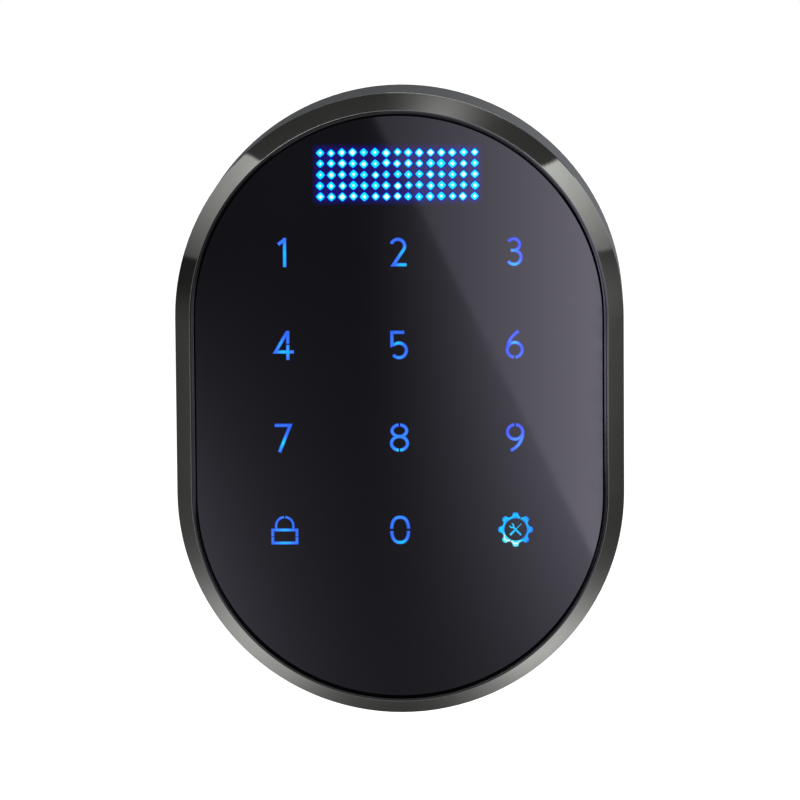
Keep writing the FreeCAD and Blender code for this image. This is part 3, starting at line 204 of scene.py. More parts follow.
def printed_glass():
    """Black printed glass: a dark base, a sharp gloss and the haze of the display under it."""
    haze_half_x, haze_half_z, soft = 14.6 * MM, 4.9 * MM, 0.9 * MM
    material, tree, shader, _ = varied_surface(
        "black_printed_glass", ("#08070A", "#0B0A0E"), patch_mm=30, rough=(0.02, 0.035),
        grain_mm=6, grain_deep_mm=0.0001)
    shader.inputs["IOR"].default_value = GLASS_IOR
    place = add_node(tree, "TexCoord").outputs["Object"]
    away = add_node(tree, "VectorMath", {0: place, 1: tuple(display)}, operation="SUBTRACT")
    away = add_node(tree, "VectorMath", {0: away.outputs[0]}, operation="ABSOLUTE")
    axes = add_node(tree, "SeparateXYZ", {"Vector": away.outputs[0]}).outputs
    inside = [add_node(tree, "MapRange", {"Value": axes[axis], "From Min": half - soft,
                                          "From Max": half + soft, "To Min": 1.0, "To Max": 0.0},
                       interpolation_type="SMOOTHSTEP")
              for axis, half in (("X", haze_half_x), ("Z", haze_half_z))]
    box = add_node(tree, "Math", {0: inside[0].outputs[0], 1: inside[1].outputs[0]}, operation="MULTIPLY")
    drift = add_node(tree, "TexNoise", {"Vector": place, "Scale": 1000 / 3.5, "Detail": 1.0})
    uneven = add_node(tree, "MapRange", {"Value": drift.outputs["Fac"], "From Min": 0.3, "From Max": 0.7,
                                         "To Min": 0.75, "To Max": 1.2})
    glow = add_node(tree, "Math", {0: box.outputs[0], 1: uneven.outputs[0]}, operation="MULTIPLY")
    shader.inputs["Emission Color"].default_value = linear("#100765")
    tree.links.new(glow.outputs[0], shader.inputs["Emission Strength"])
    return material


finishes["panel_glass"] = printed_glass()
print("display middle:", [round(v * 1000, 1) for v in display])

# %% [markdown]
# ## Light shining through the print
# The legends and dots are clear windows in the print, lit from behind. Each is brightest over its own lamp
# and turns from cyan to a deep blue away from it and at its edges. A number on every vertex, glow, holds how
# bright the place is, and a ramp turns it into colour. The right column leans to violet, as its lamps do.

# %% Lit window
def lit_window(name, stops, violet=None):
    """Emission through printed glass: glow picks a colour from stops; violet replaces them to the right."""
    material = bpy.data.materials.new(name)
    material.use_nodes = True
    tree = material.node_tree
    shader = tree.nodes["Principled BSDF"]
    shader.inputs["Base Color"].default_value = linear("#08070A")
    shader.inputs["Roughness"].default_value = 0.04
    shader.inputs["IOR"].default_value = GLASS_IOR
    shader.inputs["Specular IOR Level"].default_value = 0.15
    shader.inputs["Emission Strength"].default_value = 1.0
    glow = add_node(tree, "Attribute", attribute_name="glow").outputs["Fac"]
    place = add_node(tree, "TexCoord").outputs["Object"]
    drift = add_node(tree, "TexNoise", {"Vector": place, "Scale": 1000 / 1.3, "Detail": 1.0})
    uneven = add_node(tree, "MapRange", {"Value": drift.outputs["Fac"], "To Min": -0.10, "To Max": 0.10})
    level = add_node(tree, "Math", {0: glow, 1: uneven.outputs[0]}, operation="ADD")
    colour = add_node(tree, "ValToRGB", {"Fac": level.outputs[0]}, stops).outputs["Color"]
    if violet:
        other = add_node(tree, "ValToRGB", {"Fac": level.outputs[0]}, violet).outputs["Color"]
        x = add_node(tree, "SeparateXYZ", {"Vector": place}).outputs["X"]
        right = add_node(tree, "MapRange", {"Value": x, "From Min": 6 * MM, "From Max": 18 * MM})
        colour = add_node(tree, "MixRGB", {"Fac": right.outputs[0], "Color1": colour,
                                           "Color2": other}).outputs[0]
    tree.links.new(colour, shader.inputs["Emission Color"])
    return material


legend_light = lit_window(
    "legend_light",
    [(0.0, "#0A1E78"), (0.22, "#2450E6"), (0.5, "#3C82FF"),
     (0.8, "#00C8FF"), (0.95, "#00E6FF"), (1.0, "#B4F5FF")],
    [(0.0, "#191E82"), (0.22, "#3C41E6"), (0.5, "#5578FF"),
     (0.8, "#50B4FF"), (0.95, "#32D2FF"), (1.0, "#C8F5FF")])
tools_light = lit_window(
    "tools_light",
    [(0.0, "#0A3C8C"), (0.3, "#1E6EEB"), (0.5, "#1EA0FF"),
     (0.72, "#00DCFF"), (0.9, "#6EEBFF"), (1.0, "#FFFFFF")])
dot_light = lit_window(
    "dot_light",
    [(0.0, "#120868"), (0.25, "#1008D2"), (0.42, "#0032FF"),
     (0.55, "#00DCFF"), (0.78, "#00FFFF"), (0.95, "#FFFFFF")])
print("lit materials: legend_light, tools_light, dot_light")

# %% [markdown]
# ## From curves to thin windows
# A legend stroke is a band along a path. Its front has three points across, so that glow can fall from the
# middle to both edges, and its back sits just inside the glass, so it is a closed, very thin plate. All
# rows are worked out as arrays and tied together by one function that makes the faces of a grid.

# %% Grid, path and strip helpers
glass_low, _ = (Vector(corner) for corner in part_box("glass_lens"))
window_front = glass_low.y - 0.03 * MM
window_back = glass_low.y + 0.04 * MM
BASE_GLOW, EDGE_GLOW = 0.44, 0.55  # glow away from every lamp, and the share of it at a stroke's edges
STATION_GAP = 0.25  # mm between the points added along a stroke


def grid_faces(rows, columns):
    """Quads between neighbouring rows of a grid whose last column joins its first."""
    row, column = np.meshgrid(np.arange(rows - 1), np.arange(columns), indexing="ij")
    after = (column + 1) % columns
    this, following = row * columns, (row + 1) * columns
    quads = [this + column, following + column, following + after, this + after]
    return np.stack(quads, axis=-1).reshape(-1, 4)


def sheet_faces(rows, columns):
    """Quads between neighbouring rows and columns of a grid with open edges."""
    row, column = np.meshgrid(np.arange(rows - 1), np.arange(columns - 1), indexing="ij")
    first = row * columns + column
    return np.stack([first, first + 1, first + columns + 1, first + columns], axis=-1).reshape(-1, 4)


def add_piece(name, points, faces, glow, material):
    """Makes a mesh piece from arrays, with its glow on every vertex, riding on the fixed body."""
    mesh = bpy.data.meshes.new(name)
    mesh.from_pydata(points.tolist(), [], faces)
    mesh.attributes.new("glow", "FLOAT", "POINT").data.foreach_set("value", glow.astype(np.float32))
    mesh.materials.append(material)
    mesh.update()
    piece = bpy.data.objects.new(name, mesh)
    bpy.context.collection.objects.link(piece)
    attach(piece, "root")


def arc(centre, radius, start, end, squareness=1.0):
    """Points from start to end, in degrees, round centre + radius * (cos, sin) to the power squareness."""
    angle = np.radians(np.linspace(start, end, 40))
    turn = np.stack([np.cos(angle), np.sin(angle)], axis=-1)
    return np.array(centre) + np.array(radius) * np.sign(turn) * np.abs(turn) ** squareness


def bend(start, pull, end):
    """A curve from start to end drawn towards pull: (1-t)^2 start + 2t(1-t) pull + t^2 end."""
    t = np.linspace(0, 1, 30)[:, None]
    return (1 - t) ** 2 * np.array(start) + 2 * t * (1 - t) * np.array(pull) + t ** 2 * np.array(end)


def band(path, width):
    """Both edges of a band along a path. The mitre is both runs' normals added, over 1 + their product."""
    path = np.asarray(path, dtype=float)
    reach = np.concatenate([[0], np.cumsum(np.linalg.norm(np.diff(path, axis=0), axis=1))])
    stations = np.union1d(reach, np.arange(0, reach[-1], STATION_GAP))
    stations = stations[np.concatenate([[True], np.diff(stations) > 1e-6])]
    path = np.stack([np.interp(stations, reach, path[:, axis]) for axis in (0, 1)], axis=-1)
    run = np.diff(path, axis=0)
    run /= np.linalg.norm(run, axis=1, keepdims=True)
    normal = np.stack([-run[:, 1], run[:, 0]], axis=-1)
    before, after = np.vstack([normal[:1], normal]), np.vstack([normal, normal[-1:]])
    mitre = (before + after) / (1 + (before * after).sum(axis=1, keepdims=True))
    return path + mitre * width / 2, path - mitre * width / 2


def window_plate(name, bands, spots, place, material=legend_light):
    """One legend from its bands, in mm about its key's middle; spots are (x, z, size, strength) of its lamps."""
    points, glow, faces = [], [], []
    for left, right in bands:
        rows = len(left)
        flat = np.stack([left, (left + right) / 2, right, right, left], axis=1)
        depth = np.array([window_front] * 3 + [window_back] * 2)
        lit = sum(power * np.exp(-((flat - (x, z)) ** 2).sum(axis=-1) / (2 * size ** 2))
                  for x, z, size, power in spots)
        across = np.array([EDGE_GLOW, 1.0, EDGE_GLOW, 0.0, 0.0])
        start = sum(len(part) for part in points)
        x, z = place[0] + flat[..., 0] * MM, place[1] + flat[..., 1] * MM
        points.append(np.stack([x, np.broadcast_to(depth, x.shape), z], axis=-1).reshape(-1, 3))
        glow.append(((BASE_GLOW + lit) * across).reshape(-1))
        faces += (grid_faces(rows, 5) + start).tolist()
        faces += [[start + i for i in range(5)], [start + rows * 5 - 1 - i for i in range(5)]]
    add_piece(name, np.concatenate(points), faces, np.concatenate(glow).clip(0, 1), material)


print("windows stand", round((glass_low.y - window_front) * 1e6), "micrometres proud of the glass")

# %% [markdown]
# ## The numbers and the two icons
# The numbers are drawn as a stencil: strokes of one width on a 5.2 mm height, with small bridges where a
# closed loop would otherwise fall out of a cut mask. Each is a few straight runs, arcs and bends.

# %% Number strokes
STROKE = 0.61  # mm, one width for every number
NUMBERS = {
    "1": [[(0.47, 2.6), (0.47, -2.6)], [(-0.66, 1.42), (0.44, 2.30)]],
    "2": [np.vstack([arc((-0.02, 1.06), (1.21, 1.21), 160, -34), [(-0.84, -2.27), (1.5, -2.27)]])],
    "3": [np.vstack([arc((-0.10, 1.24), (1.08, 1.03), 148, -88), [(-0.62, 0.21)]]),
          arc((-0.04, -1.03), (1.24, 1.24), 96, -148)],
    "4": [[(0.88, 2.6), (0.88, 0.34)], [(0.80, 2.45), (-1.32, -1.16), (1.95, -1.16)],
          [(0.88, 0.12), (0.88, -2.6)]],
    "5": [np.vstack([[(1.01, 2.27), (-1.21, 2.27), (-1.21, -0.02)],
                     arc((0.05, -0.95), (1.31, 1.31), 121, -142)])],
    "6": [arc((0.0, -0.93), (1.33, 1.33), -84, 264), bend((-1.31, -0.80), (-1.20, 1.20), (0.72, 2.42))],
    "7": [[(-1.60, 2.27), (1.16, 2.27), (-0.80, -2.55)]],
    "8": [arc((0, 1.24), (1.30, 1.04), 84, -90), arc((0, 1.24), (1.30, 1.04), 96, 270),
          arc((0, -1.03), (1.42, 1.23), 90, -84), arc((0, -1.03), (1.42, 1.23), 90, 264)],
    "9": [arc((0, 0.95), (1.36, 1.31), 84, -264), bend((1.36, 0.90), (1.32, -1.30), (-0.78, -2.38))],
    "0": [arc((0, 0), (1.50, 2.27), 3, 177, 0.82), arc((0, 0), (1.50, 2.27), 183, 357, 0.82)],
}
LAMPS = {  # x, z, spread and strength of each lamp, in mm about the key's middle
    "1": [(0.4, -0.5, 1.6, 0.45)], "2": [(0.6, 0.3, 0.8, 0.45), (0.9, -2.3, 0.8, 0.5)],
    "3": [(-0.2, 0.2, 0.7, 0.35), (0.0, -2.3, 0.9, 0.5)], "4": [(0.2, -1.2, 0.8, 0.5), (-0.4, 0.4, 0.6, 0.25)],
    "5": [(-0.1, 0.4, 0.6, 0.5), (0.0, -2.3, 0.7, 0.25)], "6": [(0.0, 0.4, 0.6, 0.5), (0.4, -2.2, 0.7, 0.2)],
    "7": [(0.0, -1.0, 0.9, 0.55)], "8": [(0.0, -2.3, 0.6, 0.5), (0.0, 0.2, 1.6, 0.2)],
    "9": [(0.7, -0.9, 1.3, 0.3)], "0": [(0.2, -2.4, 0.8, 0.5), (0.0, 2.2, 0.9, 0.2)],
}
led_low, led_high = (Vector(corner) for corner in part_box("key_leds"))
lamp_half_x, lamp_half_z = 0.8 * MM, 0.4 * MM
columns = np.linspace(led_low.x + lamp_half_x, led_high.x - lamp_half_x, 3)
rows = np.linspace(led_high.z - lamp_half_z, led_low.z + lamp_half_z, 4)
KEYS = ["1", "2", "3", "4", "5", "6", "7", "8", "9", "lock", "0", "tools"]
key_place = {key: (columns[i % 3], rows[i // 3]) for i, key in enumerate(KEYS)}
for number, paths in NUMBERS.items():
    bands = [band(path, STROKE) for path in paths]
    window_plate("legend_" + number, bands, LAMPS[number], key_place[number])
print("key columns at", (columns * 1000).round(1), "rows at", (rows * 1000).round(1))

# %% [markdown]
# ## The lock and the tools
# The padlock is an outlined body with an arched shackle. The settings key is a toothed ring round a crossed
# spanner and screwdriver. The ring's rim follows a softened cosine of eight waves, with flat tips and roots
# because a hyperbolic tangent presses the wave towards its two ends.

# %% Icons
BODY_STROKE, SHACKLE_STROKE, BRIDGE = 0.54, 0.44, 0.1
side, top, foot, joint = 2.16, 0.03, -2.32, -1.12
below = joint - BRIDGE
shackle = np.vstack([[(1.53, 0.25)], arc((0, 0.82), (1.53, 1.53), 0, 86)])
lock_bands = [band([(-side, joint), (-side, top), (side, top), (side, joint)], BODY_STROKE),
              band([(-side, below), (-side, foot), (side, foot), (side, below)], BODY_STROKE),
              band(shackle, SHACKLE_STROKE), band(shackle * (-1, 1), SHACKLE_STROKE)]
lock_lamps = [(0, 0.0, 0.8, 0.35), (0, -2.3, 1.0, 0.4), (0, 2.4, 0.7, 0.1)]
window_plate("legend_lock", lock_bands, lock_lamps, key_place["lock"])
RIM_INNER, RIM_OUTER, TOOTH_WAVE, TEETH = 2.0, 2.78, 0.33, 8


def toothed_ring(start, end):
    """Edges of a ring sector; the outer radius is RIM_OUTER + TOOTH_WAVE tanh(2 cos(TEETH a)) / tanh 2."""
    angle = np.radians(np.linspace(start, end, 110))
    spoke = np.stack([np.cos(angle), np.sin(angle)], axis=-1)
    outer = RIM_OUTER + TOOTH_WAVE * np.tanh(2 * np.cos(TEETH * angle)) / np.tanh(2)
    return spoke * RIM_INNER, spoke * outer[:, None]


spanner = np.array([(-0.42, 0.42), (0.98, -1.02)])
tool_bands = [toothed_ring(69, 245), toothed_ring(249, 425), band(spanner, 0.36),
              band(arc((-0.68, 0.68), (0.33, 0.33), 180, 450), 0.26),
              band([(0.1, 0.1), (1.05, 1.05)], 0.14), band([(-0.18, -0.18), (-0.98, -0.98)], 0.42)]
tool_lamps = [(-1.0, 0.6, 2.6, 0.34), (-1.7, -2.1, 0.75, 0.9), (0.1, -2.9, 0.75, 0.9)]
window_plate("legend_tools", tool_bands, tool_lamps, key_place["tools"], tools_light)
print("legends:", len(key_place))

# %% [markdown]
# ## The dot display
# Seventy-five small lamps shine through diamond windows in five rows. Seen close, each has a white core, a
# cyan body and a blue rim, and no two are alike, since every lamp sits a little differently on its board.
# All diamonds are one array: dots, rings and corners. A diamond is a ring of points whose cosine and sine
# are pressed towards the axes by a power of 1.6.

# %% Diamonds
DOT_COLUMNS, DOT_ROWS, DOT_RINGS, CORNERS = 15, 5, 7, 16
JITTER, PINCH = 0.05 * MM, 1.6
dot_pitch = 1.95 * MM
spread = np.random.default_rng(7)
dots = DOT_COLUMNS * DOT_ROWS
across, down = np.meshgrid(np.arange(DOT_COLUMNS) - DOT_COLUMNS // 2, np.arange(DOT_ROWS) - DOT_ROWS // 2)
centre = np.stack([across.ravel(), down.ravel()], axis=-1) * dot_pitch + np.array([display.x, display.z])
centre += spread.normal(0, JITTER, centre.shape)
size = spread.uniform(0.93, 1.08, dots) * MM
core = spread.uniform(0.14, 0.42, dots) * MM
ring_size = np.stack([0 * size, core, core + 0.12 * MM, 0.68 * size, 0.78 * size,
                      0.92 * size, 0.92 * size], axis=-1)
ring_glow = np.array([1.0, 0.96, 0.74, 0.62, 0.36, 0.05, 0.05])
angle = np.linspace(0, 2 * np.pi, CORNERS, endpoint=False)
corner = np.stack([np.cos(angle), np.sin(angle)], axis=-1)
corner = np.sign(corner) * np.abs(corner) ** PINCH
spread_out = centre[:, None, None, :] + ring_size[:, :, None, None] * corner
depth = np.array([window_front] * (DOT_RINGS - 1) + [window_back])
depth = np.broadcast_to(depth[None, :, None], spread_out.shape[:-1])
dot_points = np.stack([spread_out[..., 0], depth, spread_out[..., 1]], axis=-1)
dot_glow = np.broadcast_to(ring_glow[None, :, None], depth.shape)
one = grid_faces(DOT_RINGS, CORNERS)
per_dot = DOT_RINGS * CORNERS
faces = (one[None] + (np.arange(dots) * per_dot)[:, None, None]).reshape(-1, 4).tolist()
faces += [[(dot + 1) * per_dot - CORNERS + i for i in range(CORNERS)] for dot in range(dots)]
add_piece("display_dots", dot_points.reshape(-1, 3), faces, dot_glow.ravel(), dot_light)
print("dots:", dots, "faces:", len(faces))

# %% [markdown]
# ## Metals inside and behind
# The back is what the installer sees: a zinc-plated chassis, plain steel posts and screws. Plating shows as
# cloudy patches some millimetres wide; turned and rolled parts show fine lines along their working.

# %% Metal finishes
METALS = {  # finish: material, colours, patch mm, roughness, grain mm, grain depth mm, stretch
    "chassis_metal": ("zinc_plated_steel", ("#A9ACAE", "#C3C7CB"),
        5, (0.28, 0.46), 0.5, 0.004, (1, 1, 0.25)),
    "screw_steel": ("nickel_plated_screw_steel", ("#9C9A96", "#B9B7B2"),
        2, (0.22, 0.38), 0.25, 0.003, (1, 0.3, 1)),
    "hard_steel": ("hardened_steel_plate", ("#6F7073", "#8B8C8F"),
        6, (0.3, 0.5), 0.4, 0.005, (0.2, 1, 1)),
    "post_steel": ("zinc_passivated_steel_posts", ("#9FA09B", "#C2C2B9"),
        3, (0.25, 0.42), 0.3, 0.004, (1, 0.2, 1)),
    "motor_steel": ("drawn_steel_motor_can", ("#A8A9AB", "#BEBFC1"),
        4, (0.22, 0.36), 0.3, 0.003, (0.2, 1, 1)),
    "tin_shield": ("tinned_steel_shield", ("#B4B6B8", "#CDCFD0"),
        2.5, (0.25, 0.4), 0.3, 0.003, (1, 1, 1)),
    "brass": ("cut_brass", ("#A98442", "#C9A660"),
        3, (0.25, 0.42), 0.25, 0.004, (1, 0.25, 1)),
    "magnet": ("nickel_plated_magnet", ("#AFAEAA", "#C4C3BF"),
        2, (0.15, 0.28), 0.3, 0.002, (1, 1, 1)),
}
for finish, (name, colours, patch, rough, grain, deep, stretch) in METALS.items():
    finishes[finish] = varied_surface(name, colours, patch, rough, grain, deep, 1.0, stretch)[0]
print("metals:", sorted(finishes))

# %% [markdown]
# ## Plastics, rubber and foam
# Moulded parts have an eroded texture of some tenths of a millimetre. Rubber is duller and softer, and the
# door gasket is closed-cell foam, whose skin shows small round cells, so cells of 0.5 mm are added there.

# %% Soft and moulded finishes
MOULDED = {  # finish: material, colours, patch mm, roughness, grain mm, grain depth mm
    "black_moulding": ("moulded_black_abs", ("#17181A", "#202124"), 8, (0.42, 0.6), 0.3, 0.012),
    "white_moulding": ("moulded_white_abs", ("#DFDEDA", "#ECEBE8"), 8, (0.4, 0.55), 0.35, 0.010),
    "rubber": ("moulded_silicone_rubber", ("#1E1E1F", "#2A2A2C"), 4, (0.55, 0.75), 0.25, 0.015),
    "acetal": ("cut_acetal_gears", ("#E3E0D6", "#EEECE4"), 3, (0.3, 0.42), 0.3, 0.004),
    "black_tape": ("black_acrylic_tape", ("#0C0C0D", "#151516"), 5, (0.5, 0.7), 0.4, 0.006),
    "film": ("printed_mask_film", ("#101013", "#1A1A1F"), 6, (0.25, 0.4), 0.5, 0.002),
    "diffuser": ("frosted_polycarbonate", ("#DDE2E6", "#EDF1F3"), 6, (0.5, 0.65), 0.2, 0.006),
    "chip_black": ("filled_epoxy_chip_case", ("#1B1B1C", "#28282A"), 1.5, (0.5, 0.68), 0.12, 0.006),
    "led": ("clear_epoxy_lamp", ("#D9DDD2", "#F1F2E4"), 0.8, (0.15, 0.3), 0.2, 0.002),
}
for finish, look in MOULDED.items():
    finishes[finish] = varied_surface(*look)[0]


def foam():
    """Closed-cell foam: a rough dark skin with round cells sunk into it."""
    material, tree, _, relief = varied_surface(
        "closed_cell_foam", ("#202123", "#303134"), 3, (0.8, 0.95), 0.3, 0.02)
    place = add_node(tree, "TexCoord").outputs["Object"]
    cells = add_node(tree, "TexVoronoi", {"Vector": place, "Scale": 1000 / 0.5})
    pits = add_node(tree, "Bump", {"Height": cells.outputs["Distance"], "Distance": 0.12 * MM})
    tree.links.new(pits.outputs["Normal"], relief.inputs["Normal"])
    return material


def circuit_board():
    """Fibreglass board under green-black resist: copper tracks show as raised lines in a square grid."""
    material, tree, _, relief = varied_surface(
        "solder_resist_board", ("#0D2A1C", "#123A26"), 5, (0.22, 0.34), 0.3, 0.003)
    place = add_node(tree, "TexCoord").outputs["Object"]
    tracks = add_node(tree, "TexBrick", {"Vector": place, "Scale": 1000 / 4, "Mortar Size": 0.06,
                                         "Mortar Smooth": 0.3})
    raised = add_node(tree, "Bump", {"Height": tracks.outputs["Fac"], "Distance": 0.05 * MM})
    tree.links.new(raised.outputs["Normal"], relief.inputs["Normal"])
    return material


finishes["foam"] = foam()
finishes["circuit_board"] = circuit_board()

# %% Give every node its finish
slots = {row["node"]: row["material_slot"] for row in frame["record"]["subparts"]}
for node, piece in frame["nodes"].items():
    piece.data.materials.clear()
    piece.data.materials.append(finishes[slots[node]])
print("finishes:", len(finishes), "nodes:", len(slots))

# %% [markdown]
# ## The plunger's spring
# The spring under the tamper plunger shortens as the plunger is pressed. Here a copy of its mesh, with its
# doubled points merged, rides on the fixed body in place of the imported spring, which is hidden. The copy
# is rigid, so it would be left standing in the plunger's way.

# %% Copy of the spring
coil = bpy.data.objects.new("tamper_coil", frame["nodes"]["tamper_spring"].data.copy())
bpy.context.collection.objects.link(coil)
wire = bmesh.new()
wire.from_mesh(coil.data)
bmesh.ops.remove_doubles(wire, verts=wire.verts, dist=0.001 * MM)
wire.to_mesh(coil.data)
wire.free()
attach(coil, "root")
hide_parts("tamper_spring")
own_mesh(coil)

# %% [markdown]
# ## The studio
# Polished metal and glass show their surroundings more than themselves, so the studio is built for what
# they mirror. A ring of light panels stands round the lock, just behind its front, for the bevel: bright
# towards the corners of the frame and dark between. A panel in front, below the camera, is for the glass:
# its slanted edge makes the diagonal, and its light grows towards the right. Both are seen in reflections
# only. The floor and the world are white to the camera and light the object softly.

# %% Stage helpers
def add_stage(name, points, faces, light, tint):
    """A glowing panel seen only in mirrors, its strength on every vertex."""
    mesh = bpy.data.meshes.new(name)
    mesh.from_pydata(points.tolist(), [], faces)
    mesh.attributes.new("light", "FLOAT", "POINT").data.foreach_set("value", light.astype(np.float32))
    material = bpy.data.materials.new(name)
    material.use_nodes = True
    tree = material.node_tree
    tree.nodes.remove(tree.nodes["Principled BSDF"])
    strength = add_node(tree, "Attribute", attribute_name="light").outputs["Fac"]
    glow = add_node(tree, "Emission", {"Color": linear(tint), "Strength": strength})
    tree.links.new(glow.outputs[0], tree.nodes["Material Output"].inputs["Surface"])
    mesh.materials.append(material)
    panel = bpy.data.objects.new(name, mesh)
    bpy.context.collection.objects.link(panel)
    panel.visible_camera = panel.visible_diffuse = panel.visible_shadow = panel.visible_transmission = False


def smooth_step(value, low, high):
    """0 below low, 1 above high and 3t^2 - 2t^3 between."""
    t = np.clip((value - low) / (high - low), 0, 1)
    return t * t * (3 - 2 * t)


# %% Ring of light for the bevel
RING_RADIUS, RING_FRONT, RING_BACK = 0.45, -0.05, 0.5
BASE_LIGHT, NOTCH_DEEP = 0.11, 0.065
MIRROR_DEPTH, MIRROR_SWING, MIRROR_REACH, LEAN_GAIN = 0.15, 0.063, 0.065, 0.18
SHARP_PANELS = [  # start, end, strength at start, strength at end, in degrees from the right, upwards
    (14, 43.5, 0.36, 1.60),
    (135.5, 168, 1.15, 0.14),
]
SOFT_PANELS = [  # middle, spread, strength
    (78, 7.0, 0.56), (230.8, 12.0, 1.05), (304.5, 11.5, 1.22), (2, 7.0, 0.13), (192, 8.0, 0.03),
]


def ring_light(angle):
    """Sharp panels run evenly between two strengths, soft ones fall as exp(-(a - middle)^2 / (2 spread^2))."""
    light = np.full(angle.shape, BASE_LIGHT)
    for start, end, first, last in SHARP_PANELS:
        inside = smooth_step(angle, start - 0.5, start + 0.5) * (1 - smooth_step(angle, end - 0.5, end + 0.5))
        light = light + inside * np.interp(angle, [start, end], [first, last])
    for centre, reach, strength in SOFT_PANELS:
        away = (angle - centre + 180) % 360 - 180
        light = light + strength * np.exp(-away ** 2 / (2 * reach ** 2))
    notch = smooth_step(angle, 168, 169) * (1 - smooth_step(angle, 174, 186))
    return light - NOTCH_DEEP * notch


steps, rings = 1440, 40
turn = np.linspace(0, 360, steps, endpoint=False)
depth, ring_angle = np.meshgrid(np.linspace(RING_FRONT, RING_BACK, rings), turn, indexing="ij")
ring_points = np.stack([middle.x + RING_RADIUS * np.cos(np.radians(ring_angle)), depth,
                        middle.z + RING_RADIUS * np.sin(np.radians(ring_angle))], axis=-1)
# The bevel's middle mirrors bevel_depth, and lean runs from -1 to 1 over the depths its width mirrors.
bevel_depth = MIRROR_DEPTH - MIRROR_SWING * np.sin(np.radians(ring_angle))
lean = np.clip((bevel_depth - depth) / MIRROR_REACH, -1.5, 1.5)
sway = (2.2 * lean + 1.6 * lean ** 3) * np.sin(np.radians(2 * ring_angle)) * (ring_angle < 180)
ring_strength = ring_light((ring_angle - sway) % 360) * (1 + LEAN_GAIN * lean.clip(-1, 1))
add_stage("light_ring", ring_points.reshape(-1, 3), grid_faces(rings, steps).tolist(),
          ring_strength.ravel(), "#FDFFFC")

# %% Flag behind the top, so that the side walls stay dark
FLAG_Y, FLAG_GRID = 0.9, 25
FLAG_LIGHT, FLAG_RISE = 0.10, 0.12
flag_x, flag_z = np.meshgrid(np.linspace(-0.6, 0.6, FLAG_GRID), np.linspace(-0.5, 0.6, FLAG_GRID),
                             indexing="ij")
flag_points = np.stack([flag_x, np.full(flag_x.shape, FLAG_Y), flag_z], axis=-1).reshape(-1, 3)
flag_light = FLAG_LIGHT + FLAG_RISE * smooth_step(flag_x, -0.1, 0.2)
add_stage("rear_flag", flag_points, sheet_faces(FLAG_GRID, FLAG_GRID).tolist(), flag_light.ravel(),
          "#F4F8FF")

# %% Panels for the glass
PANEL_Y, PANEL_WIDTH = -0.95, 0.28
edge_top, edge_foot = np.array([-0.0366, -0.0139]), np.array([0.0384, -0.1674])


def glass_panel(name, side, light):
    """A panel on one side of the slanted edge: out runs from the edge outwards, down follows it."""
    down, out = np.meshgrid(np.linspace(-0.3, 1.5, 90), np.linspace(0, 1, 60) ** 1.5, indexing="ij")
    line = edge_top + down[..., None] * (edge_foot - edge_top)
    x, z = line[..., 0] + side * PANEL_WIDTH * out, line[..., 1]
    points = np.stack([x, np.full(x.shape, PANEL_Y), z], axis=-1).reshape(-1, 3)
    add_stage(name, points, sheet_faces(*x.shape).tolist(), light(x, z).ravel(), "#ECE6FF")


def window_side(x, z):
    """Right of the edge: 0.77 + 18.6 u + 268 u squared, u metres right of x = -0.0374; dark past 0.0445."""
    u = np.clip(x + 0.0374, 0, 0.09)
    return (0.77 + 18.6 * u + 268 * u ** 2) * (1 - 0.95 * smooth_step(x, 0.0425, 0.0445))


def dim_side(x, z):
    """Left of the edge: nearly dark, rising as a square towards the right and again to the lower left."""
    right = 490 * np.clip(x + 0.0449, 0, 0.1) ** 2 * np.clip(1.6455 + 6.336 * z, 0.2, 1.6)
    left = 0.65 * np.exp(-(x.clip(-0.104, 1) + 0.0948) / 0.0248) * np.clip((-z - 0.0567) / 0.0937, 0, 2) ** 1.6
    return 0.13 + right + left


glass_panel("bright_panel", 1, window_side)
glass_panel("dim_panel", -1, dim_side)
print("panels stand", -PANEL_Y, "m in front")

# %% [markdown]
# ## Floor, world, lamps and camera
# The floor is plain and pale, well under the lock, and white to the camera but for the shadow it keeps. The
# world is white to the camera, to mirrors and through glass, and a soft grey as light. Three broad lamps
# stand above, two in front and one behind. The camera is a long lens a metre away, a little above and to
# the right.

# %% Floor and world
floor_mesh = bpy.data.meshes.new("floor")
FLOOR_HALF, FLOOR_Z, FLOOR_LIFT = 6.0, -0.32, 0.7
corners = ((-1, -1), (1, -1), (1, 1), (-1, 1))
floor_mesh.from_pydata([(x * FLOOR_HALF, y * FLOOR_HALF, FLOOR_Z) for x, y in corners], [], [(0, 1, 2, 3)])
floor = bpy.data.objects.new("floor", floor_mesh)
bpy.context.collection.objects.link(floor)
floor_paint, tree, shader, _ = varied_surface("pale_floor", ("#F2F2F2", "#F6F6F6"), 400, (0.7, 0.8), 5, 0.01)
seen = add_node(tree, "LightPath").outputs["Is Camera Ray"]
lift = add_node(tree, "Math", {0: seen, 1: FLOOR_LIFT}, operation="MULTIPLY")
shader.inputs["Emission Color"].default_value = (1, 1, 1, 1)
tree.links.new(lift.outputs[0], shader.inputs["Emission Strength"])
floor_mesh.materials.append(floor_paint)
floor.visible_glossy = False

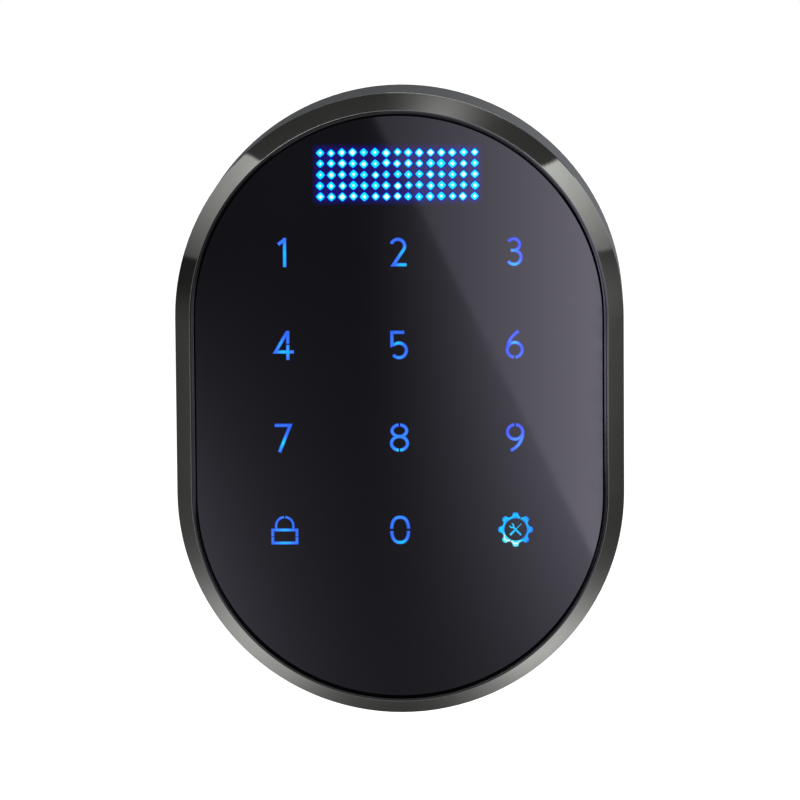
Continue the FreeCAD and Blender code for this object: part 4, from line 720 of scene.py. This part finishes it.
WORLD_LIGHT = 0.45
world = bpy.data.worlds.new("studio_world")
bpy.context.scene.world = world
world.use_nodes = True
tree = world.node_tree
rays = add_node(tree, "LightPath").outputs
mirrored = add_node(tree, "Math", {0: rays["Is Glossy Ray"], 1: rays["Is Transmission Ray"]}, operation="MAXIMUM")
white = add_node(tree, "Math", {0: rays["Is Camera Ray"], 1: mirrored.outputs[0]}, operation="MAXIMUM")
level = add_node(tree, "MapRange", {"Value": white.outputs[0], "To Min": WORLD_LIGHT, "To Max": 1.0})
tree.links.new(level.outputs[0], tree.nodes["Background"].inputs["Strength"])
tree.nodes["Background"].inputs["Color"].default_value = (1, 1, 1, 1)

# %% Lamps and camera
def aimed(thing, place, target, roll=0.0):
    """Puts a lamp or the camera at a place, turned to face the target, rolled by degrees about its own axis."""
    thing.location = place
    look = (Vector(target) - Vector(place)).to_track_quat("-Z", "Y")
    thing.rotation_mode = "QUATERNION"
    thing.rotation_quaternion = look @ Quaternion((0, 0, 1), math.radians(roll))
    bpy.context.collection.objects.link(thing)


LAMP_WIDTH = 0.9
for name, place, power in (("key_lamp", (-0.9, -1.2, 1.2), 9.0), ("fill_lamp", (1.2, -0.9, 0.7), 4.0),
                           ("back_lamp", (0.3, 1.3, 1.2), 6.0)):
    lamp = bpy.data.lights.new(name, "AREA")
    lamp.size, lamp.energy = LAMP_WIDTH, power
    aimed(bpy.data.objects.new(name, lamp), place, middle)

PITCH, YAW, ROLL, DISTANCE = 7.555, 1.755, 0.443, 1.0  # three in degrees, the last in metres
front_middle = Vector((0, glass_low.y, middle.z))
pitch, yaw = math.radians(PITCH), math.radians(YAW)
away = Vector((math.cos(pitch) * math.sin(yaw), -math.cos(pitch) * math.cos(yaw), math.sin(pitch)))
lens = bpy.data.cameras.new("camera")
lens.lens, lens.sensor_width, lens.clip_end = 253.0, 36.0, 20.0
lens.shift_x, lens.shift_y = 0.001, 0.0094
camera = bpy.data.objects.new("camera", lens)
aimed(camera, front_middle + away * DISTANCE, front_middle, -ROLL)
bpy.context.scene.camera = camera
bpy.context.scene.view_settings.view_transform = "Standard"
print("camera at", [round(v, 3) for v in camera.location])
